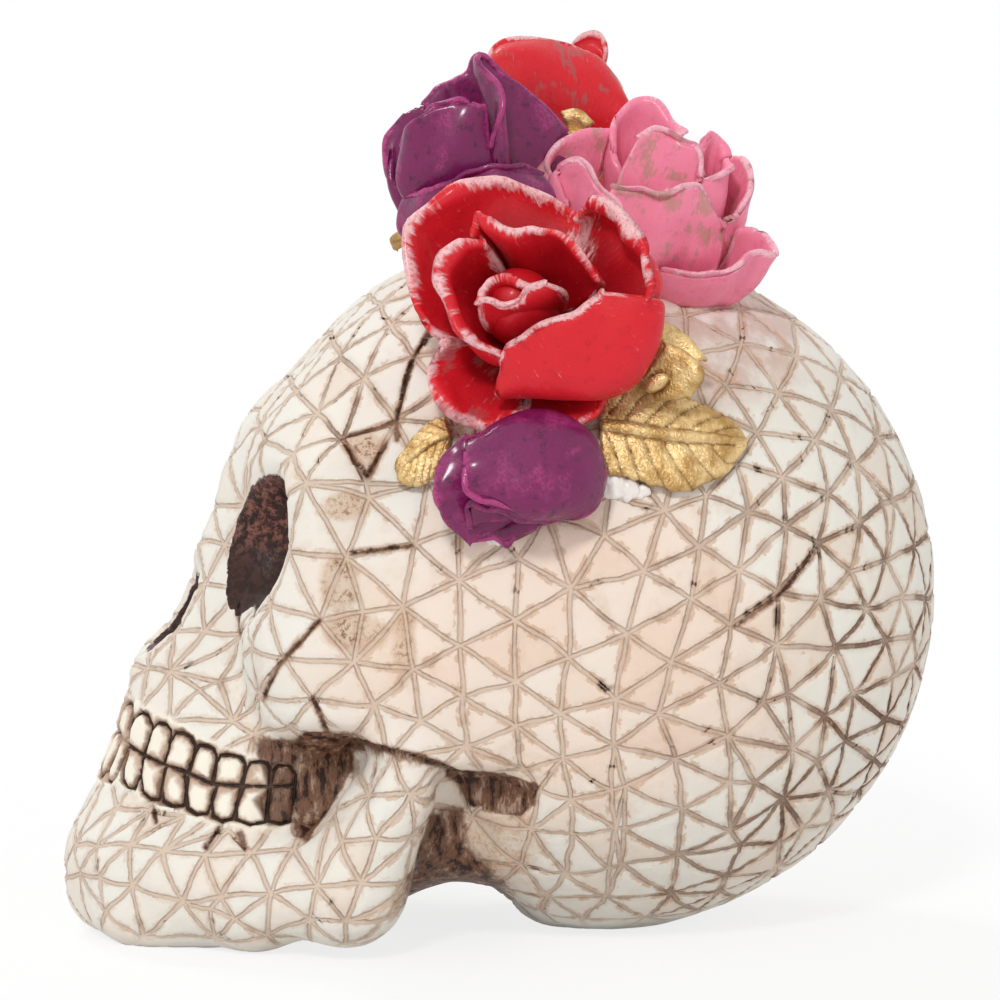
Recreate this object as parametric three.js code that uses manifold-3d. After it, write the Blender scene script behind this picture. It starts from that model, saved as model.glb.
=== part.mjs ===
// Painted sugar skull: a hollow skull casting crowned with separately cast roses, a bud and gold leaves.
// Millimetres, +Z up. The face looks along -Y, +X is the skull's own left side, and it stands on Z = 0.
import * as THREE from 'three';
import { mergeVertices } from 'three/addons/utils/BufferGeometryUtils.js';
import Module from 'manifold-3d';

const wasm = await Module();
wasm.setup();

// Skull casting
const SKULL_LENGTH = 156;
const SKULL_WIDTH = 104;
const SKULL_HEIGHT = 123;
const CASTING_WALL = 7;
const BROAD_BLEND = 11;
const FINE_BLEND = 5;
const HALF_WIDTH = SKULL_WIDTH / 2;
const HALF_LENGTH = SKULL_LENGTH / 2;

// Filling hole in the underside and the plug that closes it
const HOLE_RADIUS = 6;
const PLUG_RADIUS = 9;
const PLUG_THICKNESS = 3;
const PLUG_STEM = 6;

// Cast petals and leaves
const PETAL_THICKNESS = 2;
const LEAF_THICKNESS = 2;
const LEAF_LIFT = 0.5;
const THIN_EDGE_SHARE = 0.6;
const ROOT_RADIUS = 2.5;
const LEAST_CURL = 0.6;
const CURL_TURN = THREE.MathUtils.degToRad(110);

// Fits between touching pieces, and the reach of a cut past the piece it cuts
const GAP = 0.3;
const SEAT_GAP = 0.35;
const OVERRUN = 4;

// Mesh steps
const OUTER_CELL = 5;
const INNER_CELL = 12;
const NUDGE_SHARE = 0.04;
const SETTLE_SHARE = 0.85;
const LARGEST_STEP_SHARE = 0.25;
const FILL_SHARE = 0.1;
const MERGE_TOLERANCE = 1e-4;
const ROUND_STEPS = 40;
const PETAL_STEPS_ROUND = 5;
const PETAL_STEPS_UP = 3;
const CURL_STEPS = 1;
const CORE_STEPS = 8;
const GLUE_STEPS = 20;
const LEAF_STEPS_ALONG = 10;
const LEAF_STEPS_ACROSS = 2;
const DRAPE_STEPS = 24;
const DRAPE_FROM_SHARE = 2;

// Paints
const IVORY_PAINT = { color: 0xe9dfd0, roughness: 0.5, metalness: 0 };
const BARE_RESIN = { color: 0xd8cfc2, roughness: 0.7, metalness: 0 };
const RED_PAINT = { color: 0xc8202c, roughness: 0.4, metalness: 0 };
const PURPLE_PAINT = { color: 0x6a2458, roughness: 0.4, metalness: 0 };
const PINK_PAINT = { color: 0xe0809e, roughness: 0.5, metalness: 0 };
const GOLD_PAINT = { color: 0xb08a3c, roughness: 0.35, metalness: 0.4 };
const WHITE_GLUE = { color: 0xeeeeea, roughness: 0.5, metalness: 0 };

// The bouquet was measured in a side photograph of 1000 x 1000 pixels that shows the skull from its left. Its
// frame is that of a skull 1 long with the two proportions below, and places in it then follow the real sizes.
const PHOTO_TURN = THREE.MathUtils.degToRad(8);
const PHOTO_TILT = THREE.MathUtils.degToRad(7);
const PIXEL_SHARE = 1 / 872;
const PHOTO_MIDDLE_SHARE = 500 / 872;
const PHOTO_DISTANCE_SHARE = 8;
const PHOTO_WIDTH_SHARE = 104 / 156;
const PHOTO_HEIGHT_SHARE = 123 / 156;
const PHOTO_AIM_SHARES = new THREE.Vector3(0, 0, 0.622 * PHOTO_HEIGHT_SHARE);
const PHOTO_RIGHT = new THREE.Vector3(Math.sin(PHOTO_TURN), Math.cos(PHOTO_TURN), 0);
const PHOTO_TOWARD = new THREE.Vector3(
  Math.cos(PHOTO_TURN) * Math.cos(PHOTO_TILT),
  -Math.sin(PHOTO_TURN) * Math.cos(PHOTO_TILT),
  Math.sin(PHOTO_TILT),
);
const PHOTO_UP = new THREE.Vector3().crossVectors(PHOTO_TOWARD, PHOTO_RIGHT);

// The skull is a blend of round lumps and bars less some hollows, alike on both sides. Places and reaches are
// shares of half the width, half the length and the height, and a bar's radii are shares of the height.
const VAULT_SHARES = [
  { at: [0, 0.23, 0.485], reach: [1, 0.775, 0.495], blend: BROAD_BLEND },
  { at: [0, -0.03, 0.625], reach: [0.8, 0.575, 0.355], blend: BROAD_BLEND },
];
const UPPER_FACE_SHARES = [
  { at: [0, -0.34, 0.57], reach: [0.74, 0.25, 0.2], blend: BROAD_BLEND },
  { at: [0.44, -0.22, 0.43], reach: [0.44, 0.34, 0.2], blend: BROAD_BLEND },
  { at: [0.5, -0.42, 0.41], reach: [0.28, 0.18, 0.12], blend: BROAD_BLEND },
  { from: [0.12, -0.49, 0.705], to: [0.58, -0.4, 0.68], radii: [0.03, 0.032], blend: BROAD_BLEND },
  { from: [0.62, -0.46, 0.66], to: [0.6, -0.5, 0.47], radii: [0.03, 0.045], blend: BROAD_BLEND },
  { from: [0, -0.57, 0.645], to: [0, -0.61, 0.5], radii: [0.042, 0.055], blend: FINE_BLEND },
  { from: [0, -0.585, 0.49], to: [0, -0.695, 0.375], radii: [0.07, 0.1], blend: BROAD_BLEND },
];
const UNDER_CHEEK_SHARES = { at: [0.8, -0.5, 0.16], reach: [0.5, 0.42, 0.165], blend: FINE_BLEND };
const JAW_SHARES = [
  { at: [0, -0.5, 0.27], reach: [0.5, 0.37, 0.17], blend: FINE_BLEND },
  { at: [0, -0.6, 0.115], reach: [0.58, 0.4, 0.12], blend: BROAD_BLEND },
  { at: [0, -0.26, 0.19], reach: [0.6, 0.3, 0.14], blend: FINE_BLEND },
  { from: [0, -0.6, 0.25], to: [0, -0.7, 0.13], radii: [0.17, 0.165], blend: FINE_BLEND },
  { from: [0, -0.91, 0.06], to: [0.22, -0.84, 0.06], radii: [0.056, 0.056], blend: FINE_BLEND },
  { from: [0.22, -0.84, 0.06], to: [0.43, -0.6, 0.065], radii: [0.056, 0.06], blend: FINE_BLEND },
  { from: [0.42, -0.6, 0.1], to: [0.6, -0.4, 0.1], radii: [0.08, 0.075], blend: FINE_BLEND },
  { from: [0.62, -0.4, 0.1], to: [0.72, -0.27, 0.3], radii: [0.07, 0.06], blend: FINE_BLEND },
];
const HOLLOW_SHARES = [
  { at: [0.43, -0.655, 0.59], reach: [0.235, 0.21, 0.1], blend: FINE_BLEND },
  { at: [0.03, -0.79, 0.475], reach: [0.05, 0.13, 0.06], blend: FINE_BLEND },
  { at: [0.93, -0.38, 0.54], reach: [0.14, 0.1, 0.1], blend: FINE_BLEND },
  { from: [0.76, -0.44, 0.275], to: [0.76, -0.53, 0.19], radii: [0.05, 0.03], blend: FINE_BLEND },
  { at: [0.84, -0.1, 0.247], reach: [0.16, 0.085, 0.026], blend: FINE_BLEND },
  { at: [0.4, -0.1, -0.02], reach: [0.8, 0.16, 0.1], blend: FINE_BLEND },
];
const FOREHEAD_SLOPE = THREE.MathUtils.degToRad(39);
const FOREHEAD_SHARE = 0.762;
const PLUG_SHARES = [0, 0.23, 0];

// White filler on the crown that the bouquet is bedded in
const GLUE_SHARES = { at: [0.05, 0.1, 0.97], reach: [0.46, 0.28, 0.08] };

// Leaves that lie on the skull, each half as wide at its broadest as a share of its length in the photograph
const FLAT_LEAVES = [
  { name: 'leaf_large', midribPixels: [[597, 434], [668, 438], [743, 446]], halfWidthShare: 0.4 },
  { name: 'leaf_left', midribPixels: [[456, 436], [428, 446], [400, 474]], halfWidthShare: 0.36 },
];
const LEAF_BASE_SHARE = 0.12;
const LEAF_TIP_SHARE = 0.96;
const LEAF_FULLNESS = 0.7;

// Every flower grows from a root towards a heart and has a solid core. A petal's rim is seen at the given
// photo pixels, each place lying nearer to the viewer than the skull's middle by a share of half its width.
// The rim curls outward with a radius of its curl share. The belly, where the petal bulges, is placed by shares
// of the rim's spread and height, or passes through photo places of its own, one for each rim place.

// Large red rose on the left shoulder of the crown, facing out
const RED_FRONT_ROSE = {
  name: 'rose_red_front',
  paint: RED_PAINT,
  rootPixels: [535, 326],
  rootShare: 0.74,
  heartPixels: [505, 290],
  heartShare: 1.03,
  coreShare: 0.15,
  petals: [
    {
      rimPixels: [[456, 350], [418, 318], [404, 262], [410, 222], [452, 190], [500, 176], [548, 194],
        [590, 220]],
      towardShares: [0.84, 0.86, 0.84, 0.8, 0.76, 0.72, 0.7, 0.7],
      curlShares: [0, 0, 0.02, 0.03, 0.03, 0.02, 0, 0],
      bellyShares: [0.9, 0.3],
    },
    {
      rimPixels: [[520, 414], [545, 433], [574, 431], [598, 418], [612, 388]],
      towardShares: [0.93, 0.94, 0.94, 0.94, 0.93],
      curlShares: [0, 0, 0, 0, 0],
      bellyShares: [1, 0.3],
    },
    {
      rimPixels: [[444, 340], [428, 366], [431, 390], [450, 416], [480, 430], [528, 420]],
      towardShares: [0.88, 0.92, 0.94, 0.96, 0.96, 0.96],
      curlShares: [0, 0.02, 0.02, 0.02, 0.02, 0],
      bellyShares: [0.8, 0.4],
    },
    {
      rimPixels: [[576, 218], [596, 203], [618, 226], [638, 262], [646, 290], [641, 318]],
      towardShares: [0.86, 0.9, 0.97, 1.02, 1.03, 1.02],
      curlShares: [0, 0.03, 0.06, 0.07, 0.06, 0.03],
      bellyShares: [1.2, 0.4],
    },
    {
      rimPixels: [[497, 388], [505, 362], [516, 343], [540, 331], [568, 320], [594, 306], [608, 292]],
      towardShares: [0.99, 1.04, 1.07, 1.09, 1.09, 1.08, 1.05],
      curlShares: [0, 0, 0.02, 0.02, 0.02, 0, 0],
      bellyPixels: [[500, 392], [522, 393], [556, 394], [598, 394], [634, 378], [651, 344], [656, 304]],
      bellyTowardShares: [0.95, 0.98, 0.99, 0.98, 0.97, 0.98, 0.99],
    },
    {
      rimPixels: [[484, 238], [459, 243], [441, 262], [439, 280], [449, 301], [460, 330], [477, 347],
        [506, 363]],
      towardShares: [0.98, 1.02, 1.04, 1.04, 1.05, 1.05, 1.04, 1.01],
      curlShares: [0, 0.03, 0.03, 0.03, 0.03, 0.03, 0.02, 0],
      bellyShares: [1.2, 0.4],
    },
    {
      rimPixels: [[470, 232], [477, 210], [491, 225], [507, 233], [532, 227], [560, 230], [581, 246],
        [604, 283]],
      towardShares: [0.98, 0.96, 0.99, 1.01, 1.01, 1.01, 1.01, 0.98],
      curlShares: [0, 0, 0.03, 0.03, 0.02, 0, 0, 0],
      bellyShares: [1.1, 0.4],
    },
    {
      rimPixels: [[474, 300], [480, 286], [492, 275], [508, 273], [524, 279], [541, 284]],
      towardShares: [1.05, 1.06, 1.06, 1.06, 1.06, 1.05],
      curlShares: [0, 0, 0, 0, 0, 0],
      bellyShares: [2, 0.5],
    },
    {
      rimPixels: [[473, 307], [485, 303], [503, 306], [520, 300], [534, 287], [550, 280]],
      towardShares: [1.06, 1.08, 1.08, 1.08, 1.08, 1.05],
      curlShares: [0, 0, 0, 0, 0, 0],
      bellyShares: [1.8, 0.5],
    },
  ],
};

// Purple rose that stands on the crown towards the face
const PURPLE_TOP_ROSE = {
  name: 'rose_purple_top',
  paint: PURPLE_PAINT,
  rootPixels: [480, 236],
  rootShare: 0.3,
  heartPixels: [466, 104],
  heartShare: 0.34,
  coreShare: 0.17,
  petals: [
    {
      rimPixels: [[404, 199], [393, 182], [388, 158], [390, 137], [404, 114], [421, 106]],
      towardShares: [0.28, 0.28, 0.27, 0.26, 0.26, 0.26],
      curlShares: [0, 0.03, 0.03, 0.03, 0.02, 0],
      bellyShares: [1.1, 0.3],
    },
    {
      rimPixels: [[420, 106], [441, 84], [467, 68], [480, 52], [520, 90]],
      towardShares: [0.25, 0.22, 0.2, 0.2, 0.18],
      curlShares: [0, 0.01, 0.01, 0, 0],
      bellyShares: [1, 0.4],
    },
    {
      rimPixels: [[494, 154], [501, 112], [497, 84], [480, 54], [513, 76], [546, 105], [571, 134]],
      towardShares: [0.52, 0.53, 0.5, 0.42, 0.38, 0.34, 0.28],
      curlShares: [0, 0.03, 0.03, 0.01, 0, 0, 0],
      bellyShares: [1.3, 0.35],
    },
    {
      rimPixels: [[399, 152], [404, 132], [416, 117], [432, 105], [458, 101], [488, 103]],
      towardShares: [0.42, 0.46, 0.5, 0.52, 0.53, 0.5],
      curlShares: [0, 0, 0.01, 0.01, 0, 0],
      bellyShares: [1.4, 0.35],
    },
    {
      rimPixels: [[403, 204], [420, 197], [440, 193], [467, 182], [494, 170], [521, 173], [546, 179]],
      towardShares: [0.42, 0.5, 0.56, 0.6, 0.62, 0.6, 0.54],
      curlShares: [0, 0.02, 0.03, 0.03, 0.02, 0.02, 0],
      bellyShares: [1.5, -0.1],
    },
  ],
};

// Open pink rose that stands on the crown towards the back
const PINK_ROSE = {
  name: 'rose_pink',
  paint: PINK_PAINT,
  rootPixels: [650, 282],
  rootShare: 0.2,
  heartPixels: [680, 160],
  heartShare: 0.32,
  coreShare: 0.18,
  petals: [
    {
      rimPixels: [[624, 178], [610, 150], [609, 125], [620, 106], [638, 95], [654, 98], [668, 116],
        [684, 134]],
      towardShares: [0.3, 0.28, 0.25, 0.22, 0.2, 0.2, 0.22, 0.25],
      curlShares: [0, 0.01, 0.01, 0.01, 0.01, 0, 0, 0],
      bellyShares: [1, 0.4],
    },
    {
      rimPixels: [[706, 182], [704, 150], [706, 136], [714, 131], [725, 140], [729, 158]],
      towardShares: [0.32, 0.28, 0.26, 0.22, 0.2, 0.2],
      curlShares: [0, 0.01, 0.01, 0.01, 0.01, 0],
      bellyShares: [1.1, 0.4],
    },
    {
      rimPixels: [[727, 225], [742, 213], [754, 192], [755, 171], [748, 158], [733, 156]],
      towardShares: [0.34, 0.33, 0.3, 0.27, 0.24, 0.2],
      curlShares: [0, 0, 0.01, 0.01, 0.01, 0],
      bellyShares: [1.1, 0.3],
    },
    {
      rimPixels: [[702, 182], [720, 180], [733, 170], [730, 157]],
      towardShares: [0.4, 0.39, 0.35, 0.28],
      curlShares: [0, 0.02, 0.02, 0],
      bellyShares: [1.2, 0.3],
    },
    {
      rimPixels: [[570, 230], [550, 185], [541, 167], [554, 144], [580, 131], [609, 127]],
      towardShares: [0.35, 0.36, 0.36, 0.34, 0.3, 0.26],
      curlShares: [0, 0, 0, 0, 0, 0],
      bellyShares: [1.3, 0.3],
    },
    {
      rimPixels: [[566, 205], [555, 168], [574, 159], [582, 165], [592, 183], [613, 205], [634, 228]],
      towardShares: [0.44, 0.44, 0.46, 0.47, 0.48, 0.5, 0.5],
      curlShares: [0, 0.01, 0.01, 0.01, 0.01, 0.01, 0],
      bellyShares: [1.2, 0.3],
    },
    {
      rimPixels: [[634, 135], [655, 125], [672, 134], [697, 140], [703, 153], [700, 180]],
      towardShares: [0.38, 0.4, 0.42, 0.42, 0.42, 0.42],
      curlShares: [0, 0, 0.01, 0.01, 0, 0],
      bellyShares: [1.7, 0.3],
    },
    {
      rimPixels: [[608, 188], [636, 190], [658, 197], [681, 187], [699, 185], [712, 207], [727, 232]],
      towardShares: [0.48, 0.53, 0.55, 0.55, 0.52, 0.48, 0.42],
      curlShares: [0, 0.02, 0.03, 0.02, 0, 0, 0],
      bellyShares: [1.3, 0.1],
    },
    {
      rimPixels: [[660, 273], [699, 279], [734, 271], [758, 252], [779, 257], [768, 236], [740, 235]],
      towardShares: [0.5, 0.55, 0.54, 0.5, 0.45, 0.38, 0.32],
      curlShares: [0, 0, 0.01, 0.02, 0.01, 0, 0],
      bellyShares: [0.8, -0.3],
    },
  ],
};

// Red rose on the far side of the crown, facing away
const RED_BACK_ROSE = {
  name: 'rose_red_back',
  paint: RED_PAINT,
  rootPixels: [556, 240],
  rootShare: -0.12,
  heartPixels: [545, 125],
  heartShare: -0.5,
  coreShare: 0.2,
  petals: [
    {
      rimPixels: [[470, 120], [487, 64], [497, 45], [522, 38], [560, 42], [598, 59], [621, 86],
        [624, 116]],
      towardShares: [0.1, 0.12, 0.1, 0.06, 0, -0.02, 0, 0.04],
      curlShares: [0, 0, 0.01, 0.01, 0.01, 0, 0, 0],
      bellyShares: [1.2, 0.4],
    },
    {
      rimPixels: [[556, 66], [572, 44], [588, 39], [601, 46], [606, 74]],
      towardShares: [-0.26, -0.26, -0.24, -0.22, -0.2],
      curlShares: [0, 0.03, 0.04, 0.03, 0],
      bellyShares: [1, 0.4],
    },
    {
      rimPixels: [[500, 60], [478, 86], [468, 138], [478, 186]],
      towardShares: [-0.08, -0.22, -0.4, -0.5],
      curlShares: [0, 0.03, 0.03, 0],
      bellyShares: [1, 0.4],
    },
    {
      rimPixels: [[474, 180], [500, 222], [542, 236], [588, 222], [610, 186]],
      towardShares: [-0.46, -0.62, -0.7, -0.64, -0.5],
      curlShares: [0, 0.03, 0.04, 0.03, 0],
      bellyShares: [0.9, 0.3],
    },
    {
      rimPixels: [[614, 190], [624, 150], [618, 104], [604, 74]],
      towardShares: [-0.44, -0.36, -0.24, -0.14],
      curlShares: [0, 0.03, 0.03, 0],
      bellyShares: [1, 0.4],
    },
    {
      rimPixels: [[518, 84], [500, 118], [510, 158], [546, 172]],
      towardShares: [-0.4, -0.52, -0.64, -0.7],
      curlShares: [0, 0.02, 0.02, 0],
      bellyShares: [1.3, 0.4],
    },
    {
      rimPixels: [[536, 172], [574, 164], [592, 130], [578, 88]],
      towardShares: [-0.7, -0.66, -0.55, -0.4],
      curlShares: [0, 0.02, 0.02, 0],
      bellyShares: [1.3, 0.4],
    },
    {
      rimPixels: [[528, 118], [530, 142], [552, 148], [564, 126]],
      towardShares: [-0.56, -0.64, -0.66, -0.6],
      curlShares: [0, 0, 0, 0],
      bellyShares: [1.6, 0.5],
    },
  ],
};

// Half open purple bud under the front rose
const PURPLE_SIDE_BUD = {
  name: 'bud_purple_side',
  paint: PURPLE_PAINT,
  rootPixels: [598, 458],
  rootShare: 0.98,
  heartPixels: [478, 492],
  heartShare: 1.08,
  coreShare: 0.16,
  petals: [
    {
      rimPixels: [[466, 432], [440, 459], [431, 484], [437, 519], [470, 548]],
      towardShares: [1.02, 1.06, 1.08, 1.06, 0.98],
      curlShares: [0, 0.02, 0.02, 0.02, 0],
      bellyShares: [1.2, 0.4],
    },
    {
      rimPixels: [[556, 519], [525, 514], [496, 501], [469, 492], [461, 468], [464, 442], [480, 430]],
      towardShares: [1.04, 1.14, 1.2, 1.22, 1.2, 1.14, 1.06],
      curlShares: [0, 0, 0.01, 0.01, 0, 0, 0],
      bellyShares: [1.6, 0.3],
    },
    {
      rimPixels: [[466, 532], [462, 508], [487, 510], [522, 520], [550, 523]],
      towardShares: [1.04, 1.12, 1.14, 1.08, 1.02],
      curlShares: [0, 0, 0, 0, 0],
      bellyShares: [1.3, 0.4],
    },
    {
      rimPixels: [[478, 538], [494, 541], [505, 547], [522, 532]],
      towardShares: [1, 1, 0.98, 0.98],
      curlShares: [0, 0, 0, 0],
      bellyShares: [0.8, 0.4],
    },
  ],
};

// Curled leaves are built like petals
const CURLED_LEAVES = [
  {
    name: 'leaf_curled_upper',
    paint: GOLD_PAINT,
    rootPixels: [648, 372],
    rootShare: 0.82,
    heartPixels: [668, 340],
    heartShare: 0.86,
    coreShare: 0.05,
    petals: [
      {
        rimPixels: [[650, 318], [672, 320], [694, 338], [708, 362]],
        towardShares: [0.84, 0.82, 0.8, 0.8],
        curlShares: [0, 0, 0, 0],
        bellyShares: [0.8, 0.5],
      },
    ],
  },
  {
    name: 'leaf_curled_lower',
    paint: GOLD_PAINT,
    rootPixels: [645, 390],
    rootShare: 0.9,
    heartPixels: [668, 376],
    heartShare: 0.94,
    coreShare: 0.05,
    petals: [
      {
        rimPixels: [[664, 340], [692, 352], [704, 378], [692, 402]],
        towardShares: [0.9, 0.92, 0.92, 0.9],
        curlShares: [0, 0, 0, 0],
        bellyShares: [0.8, 0.5],
      },
    ],
  },
  {
    name: 'leaf_between',
    paint: GOLD_PAINT,
    rootPixels: [572, 150],
    rootShare: 0.2,
    heartPixels: [574, 132],
    heartShare: 0.26,
    coreShare: 0.05,
    petals: [
      {
        rimPixels: [[560, 112], [576, 108], [596, 122]],
        towardShares: [0.24, 0.24, 0.24],
        curlShares: [0, 0, 0],
        bellyShares: [0.8, 0.5],
      },
    ],
  },
  {
    name: 'leaf_far_side',
    paint: GOLD_PAINT,
    rootPixels: [430, 226],
    rootShare: -0.06,
    heartPixels: [415, 236],
    heartShare: -0.02,
    coreShare: 0.07,
    petals: [
      {
        rimPixels: [[400, 234], [388, 240], [392, 254]],
        towardShares: [-0.06, -0.1, -0.14],
        curlShares: [0, 0, 0],
        bellyShares: [0.8, 0.5],
      },
    ],
  },
];

function place([x, y, z]) {
  return new THREE.Vector3(x * HALF_WIDTH, y * HALF_LENGTH, z * SKULL_HEIGHT);
}

// Skull field: negative inside, and close to the distance near the surface
function smoothMin(a, b, blend) {
  const near = Math.max(blend - Math.abs(a - b), 0) / blend;
  return Math.min(a, b) - (near * near * blend) / 4;
}

function smoothMax(a, b, blend) {
  return -smoothMin(-a, -b, blend);
}

function roundLump({ at, reach, blend }) {
  const middle = place(at);
  const radii = place(reach);
  const distance = (x, y, z) => {
    const offset = new THREE.Vector3(x, y, z).sub(middle).divide(radii);
    const slope = offset.clone().divide(radii).length();
    const size = offset.length();
    return slope > 0 ? (size * (size - 1)) / slope : -Math.min(radii.x, radii.y, radii.z);
  };
  return { distance, blend };
}

function barLump({ from, to, radii, blend }) {
  const line = new THREE.Line3(place(from), place(to));
  const [startRadius, endRadius] = radii.map((share) => share * SKULL_HEIGHT);
  const nearest = new THREE.Vector3();
  const distance = (x, y, z) => {
    const point = new THREE.Vector3(x, y, z);
    const along = line.closestPointToPointParameter(point, true);
    line.at(along, nearest);
    return point.distanceTo(nearest) - THREE.MathUtils.lerp(startRadius, endRadius, along);
  };
  return { distance, blend };
}

const lumpFrom = (shares) => (shares.at ? roundLump(shares) : barLump(shares));
const vaultLumps = VAULT_SHARES.map(lumpFrom);
const upperFace = UPPER_FACE_SHARES.map(lumpFrom);
const underCheek = lumpFrom(UNDER_CHEEK_SHARES);
const jaw = JAW_SHARES.map(lumpFrom);
const hollows = HOLLOW_SHARES.map(lumpFrom);

function vaultField(x, y, z) {
  const [rear, front] = vaultLumps.map((lump) => lump.distance(x, y, z));
  const slope = z * Math.sin(FOREHEAD_SLOPE) - y * Math.cos(FOREHEAD_SLOPE) - FOREHEAD_SHARE * SKULL_HEIGHT;
  return smoothMax(smoothMin(rear, front, BROAD_BLEND), slope, BROAD_BLEND);
}

function skullField(x, y, z) {
  const side = Math.abs(x);
  let value = vaultField(side, y, z);
  const join = (lump) => { value = smoothMin(value, lump.distance(side, y, z), lump.blend); };
  const carve = (lump) => { value = smoothMax(value, -lump.distance(side, y, z), lump.blend); };
  upperFace.forEach(join);
  carve(underCheek);
  jaw.forEach(join);
  hollows.forEach(carve);
  return value;
}

function cavityField(x, y, z) {
  return Math.max(vaultField(x, y, z), skullField(x, y, z)) + CASTING_WALL;
}

function skullRoomField(x, y, z) {
  return skullField(x, y, z) - SEAT_GAP;
}

// Surface net: one vertex in each cell that the surface passes through, and one quad across each crossed edge
function sampleField(field, cell) {
  const low = gridCorner(cell, -1);
  const high = gridCorner(cell, 1);
  const counts = high.clone().sub(low).divideScalar(cell).round().addScalar(1).toArray();
  const index = (i, j, k) => (i * counts[1] + j) * counts[2] + k;
  const values = new Float64Array(counts[0] * counts[1] * counts[2]);
  forEachCell(counts, 0, (i, j, k) => {
    values[index(i, j, k)] = field(low.x + i * cell, low.y + j * cell, low.z + k * cell);
  });
  const grid = { low, cell, counts, index, values };
  while (fillDiagonals(grid)) continue;
  return grid;
}

// Where a grid face has its inside corners across from each other, the surface would touch itself along an
// edge. An outside corner of each such face is filled, until there is none.
function fillDiagonals({ cell, counts, index, values }) {
  let filled = false;
  forEachCell(counts.map((count) => count - 1), 0, (i, j, k) => {
    for (const [[a, b, c], [d, e, f]] of FACE_SIDES) {
      const corners = [
        index(i, j, k),
        index(i + a, j + b, k + c),
        index(i + a + d, j + b + e, k + c + f),
        index(i + d, j + e, k + f),
      ];
      const inside = corners.map((corner) => values[corner] < 0);
      if (inside[0] !== inside[2] || inside[1] !== inside[3] || inside[0] === inside[1]) continue;
      values[corners[inside[0] ? 1 : 0]] = -FILL_SHARE * cell;
      filled = true;
    }
  });
  return filled;
}

function gridCorner(cell, direction) {
  const sides = new THREE.Vector3(HALF_WIDTH, HALF_LENGTH, direction > 0 ? SKULL_HEIGHT : 0);
  return sides.divideScalar(cell).ceil().addScalar(2).multiplyScalar(direction * cell);
}

function forEachCell(counts, border, visit) {
  for (let i = border; i < counts[0] - border; i++) {
    for (let j = border; j < counts[1] - border; j++) {
      for (let k = border; k < counts[2] - border; k++) visit(i, j, k);
    }
  }
}

const FACE_SIDES = [
  [[1, 0, 0], [0, 1, 0]],
  [[0, 1, 0], [0, 0, 1]],
  [[0, 0, 1], [1, 0, 0]],
];

const CELL_EDGES = [0, 1, 2].flatMap((axis) =>
  [0, 1, 2, 3].map((step) => {
    const start = [0, 0, 0];
    start[(axis + 1) % 3] = step & 1;
    start[(axis + 2) % 3] = step >> 1;
    const end = [...start];
    end[axis] = 1;
    return [start, end];
  }),
);

function cellVertex({ low, cell, index, values }, i, j, k) {
  const sum = new THREE.Vector3();
  let crossings = 0;
  for (const [start, end] of CELL_EDGES) {
    const a = values[index(i + start[0], j + start[1], k + start[2])];
    const b = values[index(i + end[0], j + end[1], k + end[2])];
    if (a < 0 === b < 0) continue;
    sum.add(new THREE.Vector3(...start).lerp(new THREE.Vector3(...end), a / (a - b)));
    crossings++;
  }
  if (!crossings) return null;
  return sum.divideScalar(crossings).add(new THREE.Vector3(i, j, k)).multiplyScalar(cell).add(low);
}

// The two triangles round a grid edge that crosses the surface, outside in front
function edgeTriangles({ index, values }, vertexOf, at, axis) {
  const inside = values[index(...at)] < 0;
  const end = at.map((number, other) => number + Number(other === axis));
  if (inside === values[index(...end)] < 0) return [];
  const corner = (back, side) => {
    const step = [...at];
    step[(axis + 1) % 3] -= back;
    step[(axis + 2) % 3] -= side;
    return vertexOf.get(index(...step));
  };
  const quad = [corner(0, 0), corner(1, 0), corner(1, 1), corner(0, 1)];
  if (!inside) quad.reverse();
  return [quad[0], quad[1], quad[2], quad[0], quad[2], quad[3]];
}

function surfaceNet(field, cell) {
  const grid = sampleField(field, cell);
  const { counts, index } = grid;
  const positions = [];
  const vertexOf = new Map();
  forEachCell(counts.map((count) => count - 1), 0, (i, j, k) => {
    const vertex = cellVertex(grid, i, j, k);
    if (!vertex) return;
    vertexOf.set(index(i, j, k), positions.length / 3);
    positions.push(...vertex.toArray());
  });
  const triangles = [];
  forEachCell(counts, 1, (i, j, k) => {
    for (let axis = 0; axis < 3; axis++) triangles.push(...edgeTriangles(grid, vertexOf, [i, j, k], axis));
  });
  return indexedGeometry(positions, triangles);
}

// Moves the vertices most of the way onto the surface that the field describes
function settle(geometry, field, cell) {
  const { position } = geometry.attributes;
  const nudge = cell * NUDGE_SHARE;
  for (let i = 0; i < position.count; i++) {
    const point = new THREE.Vector3().fromBufferAttribute(position, i);
    const here = field(...point.toArray());
    const slope = new THREE.Vector3(
      field(point.x + nudge, point.y, point.z) - here,
      field(point.x, point.y + nudge, point.z) - here,
      field(point.x, point.y, point.z + nudge) - here,
    );
    const step = THREE.MathUtils.clamp(here, -cell * LARGEST_STEP_SHARE, cell * LARGEST_STEP_SHARE);
    point.addScaledVector(slope.normalize(), -step * SETTLE_SHARE);
    position.setXYZ(i, ...point.toArray());
  }
  return geometry;
}

function indexedGeometry(positions, triangles) {
  const geometry = new THREE.BufferGeometry();
  geometry.setAttribute('position', new THREE.Float32BufferAttribute(positions, 3));
  geometry.setIndex(triangles);
  return geometry;
}

function toSolid(geometry) {
  const source = geometry.clone();
  source.deleteAttribute('normal');
  source.deleteAttribute('uv');
  const merged = mergeVertices(source, MERGE_TOLERANCE);
  const vertProperties = new Float32Array(merged.attributes.position.array);
  const triVerts = new Uint32Array(merged.index.array);
  return new wasm.Manifold(new wasm.Mesh({ numProp: 3, vertProperties, triVerts }));
}

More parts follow.
